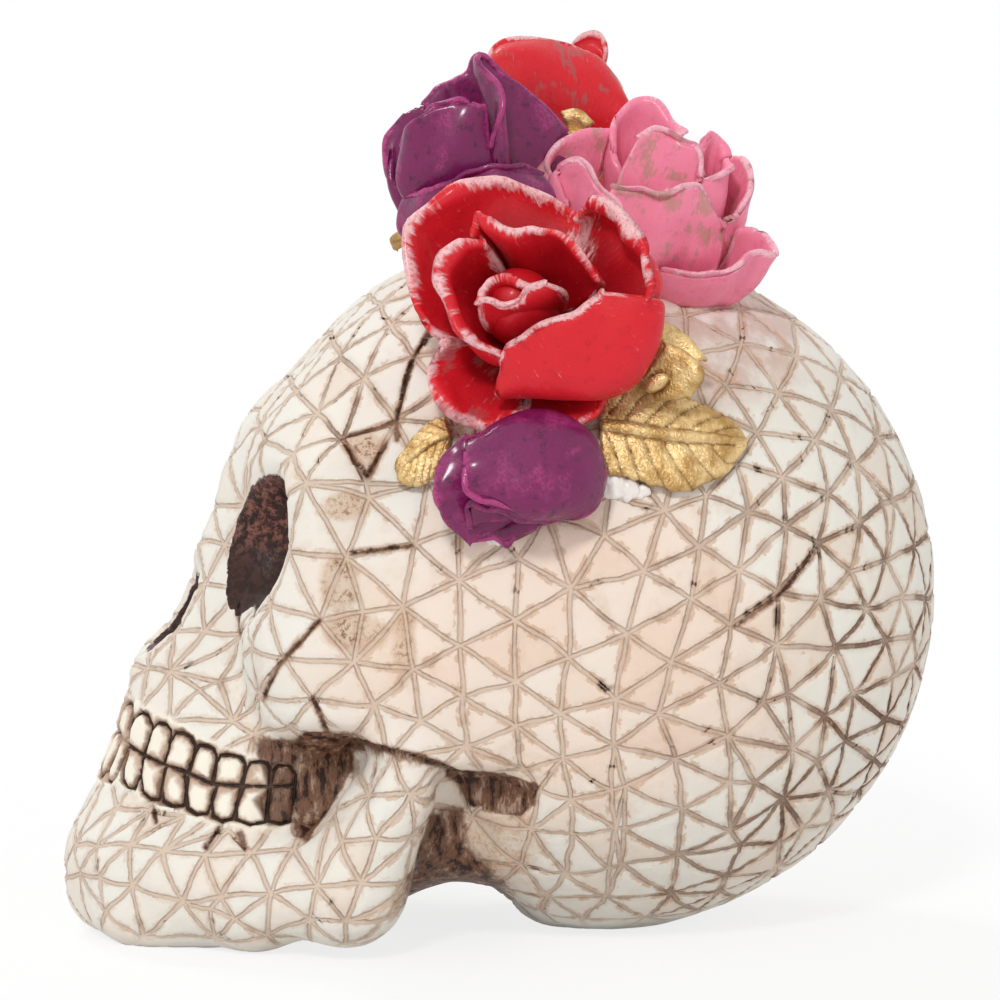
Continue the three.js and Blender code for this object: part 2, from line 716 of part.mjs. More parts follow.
function toGeometry(solid) {
  const mesh = solid.getMesh();
  const geometry = indexedGeometry(Array.from(mesh.vertProperties), Array.from(mesh.triVerts));
  geometry.computeVertexNormals();
  return geometry;
}

function largestBody(solid) {
  return solid.decompose().reduce((best, body) => (body.volume() > best.volume() ? body : best));
}

function fieldSolid(field, cell) {
  return toSolid(surfaceNet(field, cell));
}

// Photo places
function fromPhoto(across, down, towardShare) {
  const toward = (towardShare * PHOTO_WIDTH_SHARE) / 2;
  const scale = 1 - toward / PHOTO_DISTANCE_SHARE;
  const point = PHOTO_AIM_SHARES.clone()
    .addScaledVector(PHOTO_RIGHT, (across * PIXEL_SHARE - PHOTO_MIDDLE_SHARE) * scale)
    .addScaledVector(PHOTO_UP, (PHOTO_MIDDLE_SHARE - down * PIXEL_SHARE) * scale)
    .addScaledVector(PHOTO_TOWARD, toward);
  return place([(2 * point.x) / PHOTO_WIDTH_SHARE, 2 * point.y, point.z / PHOTO_HEIGHT_SHARE]);
}

// The point over the skull that a photo pixel shows, raised off the surface by the lift
function onSkull(across, down, lift) {
  let near = DRAPE_FROM_SHARE;
  let far = 0;
  for (let step = 0; step < DRAPE_STEPS; step++) {
    const middle = (near + far) / 2;
    if (skullField(...fromPhoto(across, down, middle).toArray()) > lift) near = middle;
    else far = middle;
  }
  return fromPhoto(across, down, near);
}

// Sheets: a grid of points given a thickness, thinner along its free edges
function sheetNormal(points, i, j) {
  const row = points[i];
  const across = row[Math.min(j + 1, row.length - 1)].clone().sub(row[Math.max(j - 1, 0)]);
  const along = points[Math.min(i + 1, points.length - 1)][j].clone().sub(points[Math.max(i - 1, 0)][j]);
  return across.cross(along).normalize();
}

function sheetSides(points, thickness) {
  const lastRow = points.length - 1;
  const lastColumn = points[0].length - 1;
  const positions = [];
  for (const side of [1, -1]) {
    points.forEach((row, i) =>
      row.forEach((point, j) => {
        const onEdge = i === lastRow || j === 0 || j === lastColumn;
        const half = (side * thickness * (onEdge ? THIN_EDGE_SHARE : 1)) / 2;
        positions.push(...point.clone().addScaledVector(sheetNormal(points, i, j), half).toArray());
      }),
    );
  }
  return positions;
}

function sheetTriangles(rows, columns) {
  const index = (side, i, j) => (side * rows + i) * columns + j;
  const triangles = [];
  for (let i = 0; i < rows - 1; i++) {
    for (let j = 0; j < columns - 1; j++) {
      triangles.push(index(0, i, j), index(0, i, j + 1), index(0, i + 1, j + 1));
      triangles.push(index(0, i, j), index(0, i + 1, j + 1), index(0, i + 1, j));
      triangles.push(index(1, i, j), index(1, i + 1, j + 1), index(1, i, j + 1));
      triangles.push(index(1, i, j), index(1, i + 1, j), index(1, i + 1, j + 1));
    }
  }
  const border = [];
  for (let j = 0; j < columns - 1; j++) border.push([0, j]);
  for (let i = 0; i < rows - 1; i++) border.push([i, columns - 1]);
  for (let j = columns - 1; j > 0; j--) border.push([rows - 1, j]);
  for (let i = rows - 1; i > 0; i--) border.push([i, 0]);
  border.forEach(([i, j], step) => {
    const [k, l] = border[(step + 1) % border.length];
    triangles.push(index(0, i, j), index(1, i, j), index(1, k, l));
    triangles.push(index(0, i, j), index(1, k, l), index(0, k, l));
  });
  return triangles;
}

// Moves the free edges of a grid of points outward by the swell
function spreadEdges(points, swell) {
  const wide = points.map((row) => row.map((point) => point.clone()));
  const push = (i, j, k, l) => wide[i][j].add(points[i][j].clone().sub(points[k][l]).setLength(swell));
  const lastRow = points.length - 1;
  const lastColumn = points[0].length - 1;
  for (let j = 0; j <= lastColumn; j++) push(lastRow, j, lastRow - 1, j);
  for (let i = 0; i <= lastRow; i++) {
    push(i, 0, i, 1);
    push(i, lastColumn, i, lastColumn - 1);
  }
  return wide;
}

// A swell grows the sheet on every side, to the room that its neighbours leave it
function sheetSolid(sheet, sheetThickness, swell) {
  const points = swell > 0 ? spreadEdges(sheet, swell) : sheet;
  const positions = sheetSides(points, sheetThickness + 2 * swell);
  const triangles = sheetTriangles(points.length, points[0].length);
  const solid = toSolid(indexedGeometry(positions, triangles));
  return solid.volume() > 0 ? solid : toSolid(indexedGeometry(positions, triangles.reverse()));
}

// Petals
function photoCurve(pixels, towardShares) {
  const places = pixels.map(([across, down], i) => fromPhoto(across, down, towardShares[i]));
  return new THREE.CatmullRomCurve3(places, false, 'centripetal');
}

// The control point that bends a petal's blade between its start and its rim
function bellyControl({ bellyShares, bellyCurve }, t, start, rim, { root, axis }) {
  if (bellyCurve) return bellyCurve.getPoint(t).multiplyScalar(2).sub(start.clone().add(rim).divideScalar(2));
  const reach = rim.clone().sub(root);
  const height = reach.dot(axis);
  const spread = reach.addScaledVector(axis, -height);
  return root.clone().addScaledVector(spread, bellyShares[0]).addScaledVector(axis, height * bellyShares[1]);
}

function petalColumn(petal, t, curl, flower) {
  const { root, heart, axis } = flower;
  const edge = petal.rimCurve.getPoint(t);
  const rim = edge.clone().add(heart.clone().sub(edge).setLength(PETAL_THICKNESS / 2));
  const spread = rim.clone().sub(root).projectOnPlane(axis).normalize();
  const start = root.clone().addScaledVector(spread, ROOT_RADIUS);
  const belly = bellyControl(petal, t, start, rim, flower);
  const growth = rim.clone().sub(belly).normalize();
  const outward = rim.clone().sub(heart);
  outward.addScaledVector(growth, -outward.dot(growth)).normalize();
  const turnStart = rim.clone().addScaledVector(growth, -curl);
  const blade = new THREE.QuadraticBezierCurve3(start, belly, turnStart);
  const column = blade.getPoints(PETAL_STEPS_UP);
  for (let step = 1; step <= CURL_STEPS; step++) {
    const turn = (CURL_TURN * step) / CURL_STEPS;
    const point = turnStart.clone().addScaledVector(growth, curl * Math.sin(turn));
    column.push(point.addScaledVector(outward, curl * (1 - Math.cos(turn))));
  }
  return column;
}

function petalPoints({ rimPixels, towardShares, curlShares, ...belly }, flower) {
  const petal = {
    rimCurve: photoCurve(rimPixels, towardShares),
    bellyShares: belly.bellyShares,
    bellyCurve: belly.bellyPixels && photoCurve(belly.bellyPixels, belly.bellyTowardShares),
  };
  const columns = [];
  for (let step = 0; step <= PETAL_STEPS_ROUND; step++) {
    const t = step / PETAL_STEPS_ROUND;
    const spot = t * (curlShares.length - 1);
    const first = Math.min(Math.floor(spot), curlShares.length - 2);
    const curlShare = THREE.MathUtils.lerp(curlShares[first], curlShares[first + 1], spot - first);
    const curl = Math.max(curlShare * HALF_WIDTH, LEAST_CURL);
    columns.push(petalColumn(petal, t, curl, flower));
  }
  return columns[0].map((_, row) => columns.map((column) => column[row]));
}

function coreSolid({ root, heart }, radius, swell) {
  const along = heart.clone().sub(root);
  const geometry = new THREE.SphereGeometry(1, CORE_STEPS, CORE_STEPS / 2);
  geometry.scale(radius + swell, along.length() / 2 + swell, radius + swell);
  const upright = new THREE.Vector3(0, 1, 0);
  geometry.applyQuaternion(new THREE.Quaternion().setFromUnitVectors(upright, along.clone().normalize()));
  return toSolid(geometry.translate(...root.clone().lerp(heart, 0.5).toArray()));
}

// One flower as a single casting
function flowerSolid({ rootPixels, rootShare, heartPixels, heartShare, coreShare, petals }, swell) {
  const root = fromPhoto(...rootPixels, rootShare);
  const heart = fromPhoto(...heartPixels, heartShare);
  const flower = { root, heart, axis: heart.clone().sub(root).normalize() };
  let solid = coreSolid(flower, coreShare * HALF_WIDTH, swell);
  for (const petal of petals) {
    solid = solid.add(sheetSolid(petalPoints(petal, flower), PETAL_THICKNESS, swell));
  }
  return solid;
}

function leafPoints({ midribPixels, halfWidthShare }) {
  const controls = midribPixels.map((pixels) => new THREE.Vector2(...pixels));
  const midrib = new THREE.QuadraticBezierCurve(...controls);
  const rows = [];
  for (let i = 0; i <= LEAF_STEPS_ALONG; i++) {
    const t = i / LEAF_STEPS_ALONG;
    const middle = midrib.getPoint(t);
    const bow = Math.sin(Math.PI * THREE.MathUtils.lerp(LEAF_BASE_SHARE, LEAF_TIP_SHARE, t)) ** LEAF_FULLNESS;
    const half = midrib.getLength() * halfWidthShare * bow;
    const row = [];
    for (let j = -LEAF_STEPS_ACROSS; j <= LEAF_STEPS_ACROSS; j++) {
      const across = j / LEAF_STEPS_ACROSS;
      const lift = SEAT_GAP + LEAF_THICKNESS / 2 + LEAF_LIFT * Math.abs(across);
      row.push(onSkull(middle.x, middle.y + half * across, lift));
    }
    rows.push(row);
  }
  return rows;
}

// Skull casting and its plug
function plugCylinder(radius, bottom, top) {
  const geometry = new THREE.CylinderGeometry(radius, radius, top - bottom, ROUND_STEPS);
  geometry.rotateX(Math.PI / 2);
  const middle = place(PLUG_SHARES);
  return toSolid(geometry.translate(middle.x, middle.y, (top + bottom) / 2));
}

// The casting is ground flat underneath: what would be below the floor lies on it
function flatUnderneath(geometry) {
  const { position } = geometry.attributes;
  for (let i = 0; i < position.count; i++) position.setZ(i, Math.max(position.getZ(i), 0));
  return geometry;
}

function skullCasting() {
  const cavity = largestBody(fieldSolid(cavityField, INNER_CELL));
  const hole = plugCylinder(HOLE_RADIUS, -OVERRUN, CASTING_WALL + 2 * OVERRUN);
  const seat = plugCylinder(PLUG_RADIUS, -OVERRUN, PLUG_THICKNESS);
  const net = settle(surfaceNet(skullField, OUTER_CELL), skullField, OUTER_CELL);
  const outer = toSolid(flatUnderneath(net));
  return largestBody(outer.subtract(cavity).subtract(hole).subtract(seat));
}

function basePlug() {
  const disc = plugCylinder(PLUG_RADIUS - GAP, 0, PLUG_THICKNESS - GAP);
  return disc.add(plugCylinder(HOLE_RADIUS - GAP, 0, PLUG_STEM));
}

function glueSolid(swell) {
  const reach = place(GLUE_SHARES.reach).addScalar(swell);
  const geometry = new THREE.SphereGeometry(1, GLUE_STEPS, GLUE_STEPS / 2);
  geometry.rotateX(Math.PI / 2);
  geometry.scale(...reach.toArray());
  return toSolid(geometry.translate(...place(GLUE_SHARES.at).toArray()));
}

// Assembly: each piece is cut clear of the ones before it
const pieces = new THREE.Group();

function addPiece(name, solid, paint) {
  const mesh = new THREE.Mesh(toGeometry(solid), new THREE.MeshStandardMaterial(paint));
  mesh.name = name;
  pieces.add(mesh);
}

addPiece('skull_casting', skullCasting(), IVORY_PAINT);
addPiece('base_plug', basePlug(), BARE_RESIN);

const skullRoom = fieldSolid(skullRoomField, OUTER_CELL);
addPiece('glue_bed', largestBody(glueSolid(0).subtract(skullRoom)), WHITE_GLUE);
let taken = skullRoom.add(glueSolid(SEAT_GAP));

function addCutPiece(name, paint, makeSolid) {
  const whole = makeSolid(0);
  addPiece(name, largestBody(whole.subtract(taken)), paint);
  taken = taken.add(whole).add(makeSolid(GAP));
}

const roses = [RED_FRONT_ROSE, PINK_ROSE, PURPLE_TOP_ROSE, RED_BACK_ROSE, PURPLE_SIDE_BUD];
const flowers = [...roses, ...CURLED_LEAVES];
for (const flower of flowers) {
  addCutPiece(flower.name, flower.paint, (swell) => flowerSolid(flower, swell));
}
for (const leaf of FLAT_LEAVES) {
  addCutPiece(leaf.name, GOLD_PAINT, (swell) => sheetSolid(leafPoints(leaf), LEAF_THICKNESS, swell));
}

// The bouquet overhangs one side, so the pieces are moved together until their bounds are centred
const bounds = new THREE.Box3().setFromObject(pieces);
const centre = bounds.getCenter(new THREE.Vector3());
pieces.position.set(-centre.x, -centre.y, -bounds.min.z);

const sugarSkull = new THREE.Group();
sugarSkull.name = 'sugar_skull';
sugarSkull.add(pieces);

export default sugarSkull;
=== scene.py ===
"""Sugar skull: a cast resin skull with a carved triangle net, painted resin roses and gold leaves.

Lengths in this file are millimetres in the skull's own frame: +Z up, the face towards -Y and X = 0
in the skull's middle plane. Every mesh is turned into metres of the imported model's frame at the end.
"""

import logging
import math
from collections.abc import Sequence
from dataclasses import dataclass, field
from enum import Enum

import bmesh
import bpy
import numpy as np
from mathutils import Matrix, Vector
from mathutils.kdtree import KDTree

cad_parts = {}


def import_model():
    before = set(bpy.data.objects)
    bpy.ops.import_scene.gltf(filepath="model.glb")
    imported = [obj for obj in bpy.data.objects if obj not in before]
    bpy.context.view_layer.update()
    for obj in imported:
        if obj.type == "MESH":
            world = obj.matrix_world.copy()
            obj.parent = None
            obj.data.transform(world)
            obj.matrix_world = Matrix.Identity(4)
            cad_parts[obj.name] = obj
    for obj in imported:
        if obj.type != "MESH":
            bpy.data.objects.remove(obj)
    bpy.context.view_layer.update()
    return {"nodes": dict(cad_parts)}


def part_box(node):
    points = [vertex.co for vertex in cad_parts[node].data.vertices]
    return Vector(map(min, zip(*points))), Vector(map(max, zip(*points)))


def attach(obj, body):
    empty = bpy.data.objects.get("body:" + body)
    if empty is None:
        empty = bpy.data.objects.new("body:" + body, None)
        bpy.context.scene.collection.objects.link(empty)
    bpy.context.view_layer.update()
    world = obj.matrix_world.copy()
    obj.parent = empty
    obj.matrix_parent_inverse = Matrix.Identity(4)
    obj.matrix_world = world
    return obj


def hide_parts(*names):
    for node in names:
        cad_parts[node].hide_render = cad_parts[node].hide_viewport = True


LOG = logging.getLogger("sugar_skull")

Array = np.ndarray
Stored = dict[str, Array]
Faces = list[list[int]]
Colour = tuple[float, ...]
Pixels = Sequence[tuple[float, float]]
Triple = tuple[float, float, float]

METRE = 1000.0
FAR = 1e3
BODY = "root"

# The skull's size, where its plug is as a share of the half length, and its length in the photograph's pixels
HALF_WIDTH = 52.0
HALF_LENGTH = 78.0
HEIGHT = 123.0
SHARES = np.array([HALF_WIDTH, HALF_LENGTH, HEIGHT])
PLUG_SHARE = 0.23
LENGTH_PIXELS = 872

# How far the skull's round forms run into each other
BROAD_BLEND = 11.0
FINE_BLEND = 5.0


def paint(red: float, green: float, blue: float) -> Colour:
    """Turn a colour as it looks on a screen into the renderer's linear values.

    Args:
        red: Red from 0 to 255.
        green: Green from 0 to 255.
        blue: Blue from 0 to 255.

    Returns:
        The linear colour with full alpha.
    """
    linear = [(c / 255 / 12.92) if c < 10 else ((c / 255 + 0.055) / 1.055) ** 2.4 for c in (red, green, blue)]
    return (linear[0], linear[1], linear[2], 1.0)


def smooth_step(values: Array, low: float, high: float) -> Array:
    """Rise smoothly from 0 at low to 1 at high."""
    share = np.clip((values - low) / (high - low), 0.0, 1.0)
    return share * share * (3.0 - 2.0 * share)


def smooth_min(a: Array, b: Array, blend: float) -> Array:
    """Join two distances with a fillet of the blend's size."""
    near = np.maximum(blend - np.abs(a - b), 0.0) / blend
    return np.minimum(a, b) - near * near * blend * 0.25


def smooth_max(a: Array, b: Array, blend: float) -> Array:
    """Cut one distance by another with a fillet of the blend's size."""
    return -smooth_min(-a, -b, blend)


def unit(vectors: Array) -> Array:
    """Scale vectors to length 1."""
    return vectors / np.maximum(np.linalg.norm(vectors, axis=-1, keepdims=True), 1e-9)


def ripple(points: Array, size: float, seed: int) -> Array:
    """Smooth uneven waves over space.

    Args:
        points: Places in millimetres.
        size: The length of a wave in millimetres.
        seed: Which waves to use.

    Returns:
        A value near -1 to 1 for each place.
    """
    count = 6
    generator = np.random.default_rng(seed)
    ways = unit(generator.normal(size=(count, 3))) * (2 * math.pi / size)
    waves = ways * generator.uniform(0.6, 1.7, (count, 1))
    starts = generator.uniform(0, 2 * math.pi, count)
    return np.sin(points @ waves.T + starts).sum(-1) / (count / 2)


def folded(points: Array) -> Array:
    """Mirror the places on the far side to the near side."""
    return np.concatenate([np.abs(points[..., :1]), points[..., 1:]], -1)


def mesh_arrays(work: bmesh.types.BMesh) -> tuple[Array, Faces]:
    """Turn a mesh into arrays, and free it.

    Args:
        work: The mesh.

    Returns:
        The vertices, and the faces' vertex numbers.
    """
    points = np.array([v.co for v in work.verts])
    faces = [[v.index for v in face.verts] for face in work.faces]
    work.free()
    return points, faces


def polyline_distance(points: Array, lines: Sequence[Array]) -> Array:
    """Find how far places are from the nearest of some lines.

    Args:
        points: The places, in space or in the picture.
        lines: Each line's points in order.

    Returns:
        The distances.
    """
    closest = np.full(len(points), FAR)
    for line in lines:
        for start, end in zip(line[:-1], line[1:]):
            way = end - start
            along = np.clip((points - start) @ way / max(way @ way, 1e-9), 0.0, 1.0)
            closest = np.minimum(closest, np.linalg.norm(points - start - along[:, None] * way, axis=1))
    return closest


@dataclass(frozen=True)
class PhotoFrame:
    """The photograph's camera, which places a feature by its pixel and how far it stands towards the camera."""

    turn: float = 8.0
    tilt: float = 7.0
    aim_height: float = 0.622 * HEIGHT
    pixel: float = 2 * HALF_LENGTH / LENGTH_PIXELS
    middle: float = 500.0
    distance: float = 16 * HALF_LENGTH

    @property
    def right(self) -> Array:
        """The picture's direction to the right."""
        turn = math.radians(self.turn)
        return np.array([math.sin(turn), math.cos(turn), 0.0])

    @property
    def toward(self) -> Array:
        """The direction from the aim to the camera."""
        turn, tilt = math.radians(self.turn), math.radians(self.tilt)
        flat = np.array([math.cos(turn), -math.sin(turn), 0.0])
        return flat * math.cos(tilt) + np.array([0.0, 0.0, math.sin(tilt)])

    @property
    def up(self) -> Array:
        """The picture's direction up."""
        return np.cross(self.toward, self.right)

    @property
    def aim(self) -> Array:
        """The place in the middle of the picture."""
        return np.array([0.0, 0.0, self.aim_height])

    def rays(self, pixels: Pixels) -> tuple[Array, Array]:
        """Find the lines of sight of pixels.

        Args:
            pixels: Pixels across and down.

        Returns:
            For each pixel the place in the aim's plane, and the step for each millimetre towards the camera.
        """
        spots = np.asarray(pixels, float)
        across = (spots[:, :1] - self.middle) * self.pixel * self.right
        offset = across + (self.middle - spots[:, 1:]) * self.pixel * self.up
        return self.aim + offset, self.toward - offset / self.distance

    def places(self, pixels: Pixels, toward_shares: Sequence[float]) -> Array:
        """Find the places that pixels show at given shares of the half width towards the camera."""
        start, step = self.rays(pixels)
        return start + step * (np.asarray(toward_shares, float)[:, None] * HALF_WIDTH)

    def pixels(self, points: Array) -> Array:
        """Find the pixels at which places are seen."""
        offset = points - self.aim
        scale = 1.0 / (1.0 - offset @ self.toward / self.distance) / self.pixel
        return np.stack([self.middle + offset @ self.right * scale, self.middle - offset @ self.up * scale], -1)


PHOTO = PhotoFrame()


@dataclass(frozen=True)
class Lump:
    """An ellipsoid of the skull's form, in shares of the half width, half length and height."""

    at: Triple
    reach: Triple
    blend: float = BROAD_BLEND

    def distance(self, points: Array) -> Array:
        """Find roughly how far places are outside the lump.

        Args:
            points: The places.

        Returns:
            The distances in millimetres.
        """
        radii = np.array(self.reach) * SHARES
        offset = (points - np.array(self.at) * SHARES) / radii
        size = np.linalg.norm(offset, axis=-1)
        slope = np.linalg.norm(offset / radii, axis=-1)
        return size * (size - 1.0) / np.maximum(slope, 1e-9)


@dataclass(frozen=True)
class Bar:
    """A tapered bar of the skull's form, with radii in shares of the height."""

    start: Triple
    end: Triple
    radii: tuple[float, float]
    blend: float = FINE_BLEND

    def distance(self, points: Array) -> Array:
        """Find how far places are outside the bar.

        Args:
            points: The places.

        Returns:
            The distances in millimetres.
        """
        start = np.array(self.start) * SHARES
        line = np.array(self.end) * SHARES - start
        along = np.clip((points - start) @ line / (line @ line), 0.0, 1.0)
        nearest = start + along[..., None] * line
        radius = self.radii[0] + (self.radii[1] - self.radii[0]) * along
        return np.linalg.norm(points - nearest, axis=-1) - radius * HEIGHT


@dataclass(frozen=True)
class SkullForm:
    """The skull's outer surface as a distance field."""

    vault: tuple[Lump, ...] = (
        Lump((0, 0.23, 0.485), (1, 0.775, 0.495)),
        Lump((0, -0.03, 0.625), (0.8, 0.575, 0.355)),
    )
    forehead_slope: float = 39.0
    forehead_share: float = 0.762
    upper_face: tuple[Lump | Bar, ...] = (
        Lump((0, -0.34, 0.57), (0.74, 0.25, 0.2)),
        Lump((0.44, -0.22, 0.43), (0.44, 0.34, 0.2)),
        Lump((0.5, -0.42, 0.41), (0.28, 0.18, 0.12)),
        Bar((0.12, -0.49, 0.705), (0.58, -0.4, 0.68), (0.03, 0.032), BROAD_BLEND),
        Bar((0.62, -0.46, 0.66), (0.6, -0.5, 0.47), (0.03, 0.045), BROAD_BLEND),
        Bar((0, -0.57, 0.645), (0, -0.61, 0.5), (0.042, 0.055)),
        Bar((0, -0.585, 0.49), (0, -0.695, 0.375), (0.07, 0.1), BROAD_BLEND),
    )
    under_cheek: Lump = Lump((0.8, -0.5, 0.16), (0.5, 0.42, 0.165), FINE_BLEND)
    jaw: tuple[Lump | Bar, ...] = (
        Lump((0, -0.5, 0.27), (0.5, 0.37, 0.17), FINE_BLEND),
        Lump((0, -0.6, 0.115), (0.58, 0.4, 0.12)),
        Lump((0, -0.26, 0.19), (0.6, 0.3, 0.14), FINE_BLEND),
        Bar((0, -0.6, 0.25), (0, -0.7, 0.13), (0.17, 0.165)),
        Bar((0, -0.91, 0.06), (0.22, -0.84, 0.06), (0.056, 0.056)),
        Bar((0.22, -0.84, 0.06), (0.43, -0.6, 0.065), (0.056, 0.06)),
        Bar((0.42, -0.6, 0.1), (0.6, -0.4, 0.1), (0.08, 0.075)),
        Bar((0.62, -0.4, 0.1), (0.72, -0.27, 0.3), (0.07, 0.06)),
    )
    socket: Lump = Lump((0.43, -0.655, 0.59), (0.235, 0.21, 0.1), FINE_BLEND)
    nose: Lump = Lump((0.03, -0.79, 0.475), (0.05, 0.13, 0.06), FINE_BLEND)
    temple: Lump = Lump((0.93, -0.38, 0.54), (0.14, 0.1, 0.1), FINE_BLEND)
    behind_teeth: Bar = Bar((0.76, -0.44, 0.275), (0.76, -0.53, 0.19), (0.05, 0.03), FINE_BLEND)
    behind_jaw: Lump = Lump((0.84, -0.1, 0.247), (0.16, 0.085, 0.026), FINE_BLEND)
    underside: Lump = Lump((0.4, -0.1, -0.02), (0.8, 0.16, 0.1), FINE_BLEND)
    march_steps: int = 160
    march_share: float = 0.6
    march_limits: tuple[float, float] = (-2.0, 6.0)
    outside: float = 130.0

    @property
    def hollows(self) -> tuple[Lump | Bar, ...]:
        """Everything that is carved out of the form."""
        return (self.socket, self.nose, self.temple, self.behind_teeth, self.behind_jaw, self.underside)

    def distance(self, points: Array) -> Array:
        """Find roughly how far places are outside the skull.

        Args:
            points: The places.

        Returns:
            The distances in millimetres.
        """
        side = folded(points)
        slope = math.radians(self.forehead_slope)
        front = side[..., 2] * math.sin(slope) - side[..., 1] * math.cos(slope) - self.forehead_share * HEIGHT
        value = smooth_min(self.vault[0].distance(side), self.vault[1].distance(side), BROAD_BLEND)
        value = smooth_max(value, front, BROAD_BLEND)
        for part in self.upper_face:
            value = smooth_min(value, part.distance(side), part.blend)
        value = smooth_max(value, -self.under_cheek.distance(side), self.under_cheek.blend)
        for part in self.jaw:
            value = smooth_min(value, part.distance(side), part.blend)
        for hollow in self.hollows:
            value = smooth_max(value, -hollow.distance(side), hollow.blend)
        return value

    def normals(self, points: Array, reach: float = 0.2) -> Array:
        """Find the field's outward direction at places."""
        steps = np.eye(3) * reach
        slopes = [self.distance(points + step) - self.distance(points - step) for step in steps]
        return unit(np.stack(slopes, -1))

    def settle(self, points: Array, rounds: int = 3) -> Array:
        """Move places near the surface onto it."""
        for _ in range(rounds):
            points = points - self.normals(points) * self.distance(points)[:, None]
        return points

    def march(self, starts: Array, directions: Array, reach: float) -> Array:
        """Follow lines from outside until they meet the surface.

        Args:
            starts: Where each line starts, outside the skull.
            directions: The direction of each line, of length 1.
            reach: The longest way to go, in millimetres.

        Returns:
            Where each line meets the surface, or its far end.
        """
        gone = np.zeros(len(starts))
        for _ in range(self.march_steps):
            here = starts + directions * gone[:, None]
            gone = np.minimum(gone + np.clip(self.distance(here) * self.march_share, *self.march_limits), reach)
        return starts + directions * gone[:, None]

    def seen_at(self, pixels: Pixels) -> Array:
        """Find the places on the skull that pixels of the photograph show."""
        middle, step = PHOTO.rays(pixels)
        return self.march(middle + step * (2 * HALF_WIDTH), -unit(step), 3 * HALF_WIDTH)

    def in_front(self, shares: Pixels) -> Array:
        """Find the places seen from the front at shares of the half width and the height."""
        across, high = np.asarray(shares, float).T
        starts = np.stack([across * HALF_WIDTH, np.full(len(across), -1.3 * HALF_LENGTH), high * HEIGHT], 1)
        return self.march(starts, np.tile([0.0, 1.0, 0.0], (len(starts), 1)), HALF_LENGTH)

    def from_centre(self, directions: Array, centre: Array) -> Array:
        """Find the outermost places on the skull in directions from a centre."""
        return self.march(centre + directions * self.outside, -directions, self.outside)


def surface_net(form: SkullForm, low: Array, high: Array, cell: float) -> tuple[Array, Array]:
    """Cover the form's surface with small quads.

    Args:
        form: The form to cover.
        low: The lowest corner of the region.
        high: The highest corner of the region.
        cell: The size of a quad.

    Returns:
        The vertices, and the quads' vertex numbers.
    """
    coarse = 4
    reach = cell * coarse * 1.9
    counts = np.ceil((high - low) / cell).astype(int) + 1
    rough_counts = (counts + coarse - 1) // coarse + 1
    rough_axes = [low[i] + cell * coarse * np.arange(rough_counts[i]) for i in range(3)]
    rough = form.distance(np.stack(np.meshgrid(*rough_axes, indexing="ij"), -1))
    nearest = [np.minimum((np.arange(counts[i]) + coarse // 2) // coarse, rough_counts[i] - 1) for i in range(3)]
    values = np.where(rough < 0, -FAR, FAR)[np.ix_(*nearest)]
    close = (np.abs(rough) < reach)[np.ix_(*nearest)]
    spots = np.argwhere(close)
    values[close] = form.distance(low + cell * spots)
    inside = values < 0
    corners = [np.array([i, j, k]) for i in (0, 1) for j in (0, 1) for k in (0, 1)]

    def shifted(grid: Array, corner: Array) -> Array:
        """The grid's values at one corner of every cell."""
        return grid[tuple(slice(corner[i], counts[i] - 1 + corner[i]) for i in range(3))]

    filled = sum(shifted(inside, corner).astype(np.int8) for corner in corners)
    crossed = (filled > 0) & (filled < 8)
    numbers = np.full(crossed.shape, -1)
    numbers[crossed] = np.arange(crossed.sum())
    cells = np.argwhere(crossed)
    total = np.zeros((len(cells), 3))
    hits = np.zeros(len(cells))
    ends = [values[tuple((cells + corner).T)] for corner in corners]
    for first, a in enumerate(corners):
        for second, b in enumerate(corners):
            if first < second and np.abs(a - b).sum() == 1:
                cut = (ends[first] < 0) != (ends[second] < 0)
                share = ends[first][cut] / (ends[first][cut] - ends[second][cut])
                total[cut] += a + share[:, None] * (b - a)
                hits[cut] += 1
    vertices = low + cell * (cells + total / hits[:, None])
    quads = [axis_quads(inside, numbers, counts, axis) for axis in range(3)]
    return vertices, np.concatenate(quads)


def axis_quads(inside: Array, numbers: Array, counts: Array, axis: int) -> Array:
    """Make the quads round every grid edge along one axis that crosses the surface.

    Args:
        inside: Whether each grid corner is inside the form.
        numbers: The vertex number of each crossed cell.
        counts: The number of grid corners along each axis.
        axis: The axis of the grid edges.

    Returns:
        The quads' vertex numbers, with the outside in front.
    """
    start = [slice(None)] * 3
    end = [slice(None)] * 3
    start[axis] = slice(0, counts[axis] - 1)
    end[axis] = slice(1, counts[axis])
    here, there = inside[tuple(start)], inside[tuple(end)]
    spots = np.argwhere(here != there)
    u, v = [i for i in range(3) if i != axis]
    spots = spots[(spots[:, u] > 0) & (spots[:, v] > 0)]
    spots = spots[(spots[:, u] < counts[u] - 1) & (spots[:, v] < counts[v] - 1)]
    leaving = here[tuple(spots.T)]
    ring = []
    for du, dv in ((0, 0), (1, 0), (1, 1), (0, 1)):
        cell = spots.copy()
        cell[:, u] -= du
        cell[:, v] -= dv
        ring.append(numbers[tuple(cell.T)])
    quads = np.stack(ring, 1)
    turned = leaving if axis != 1 else ~leaving
    quads[~turned] = quads[~turned][:, ::-1]
    return quads


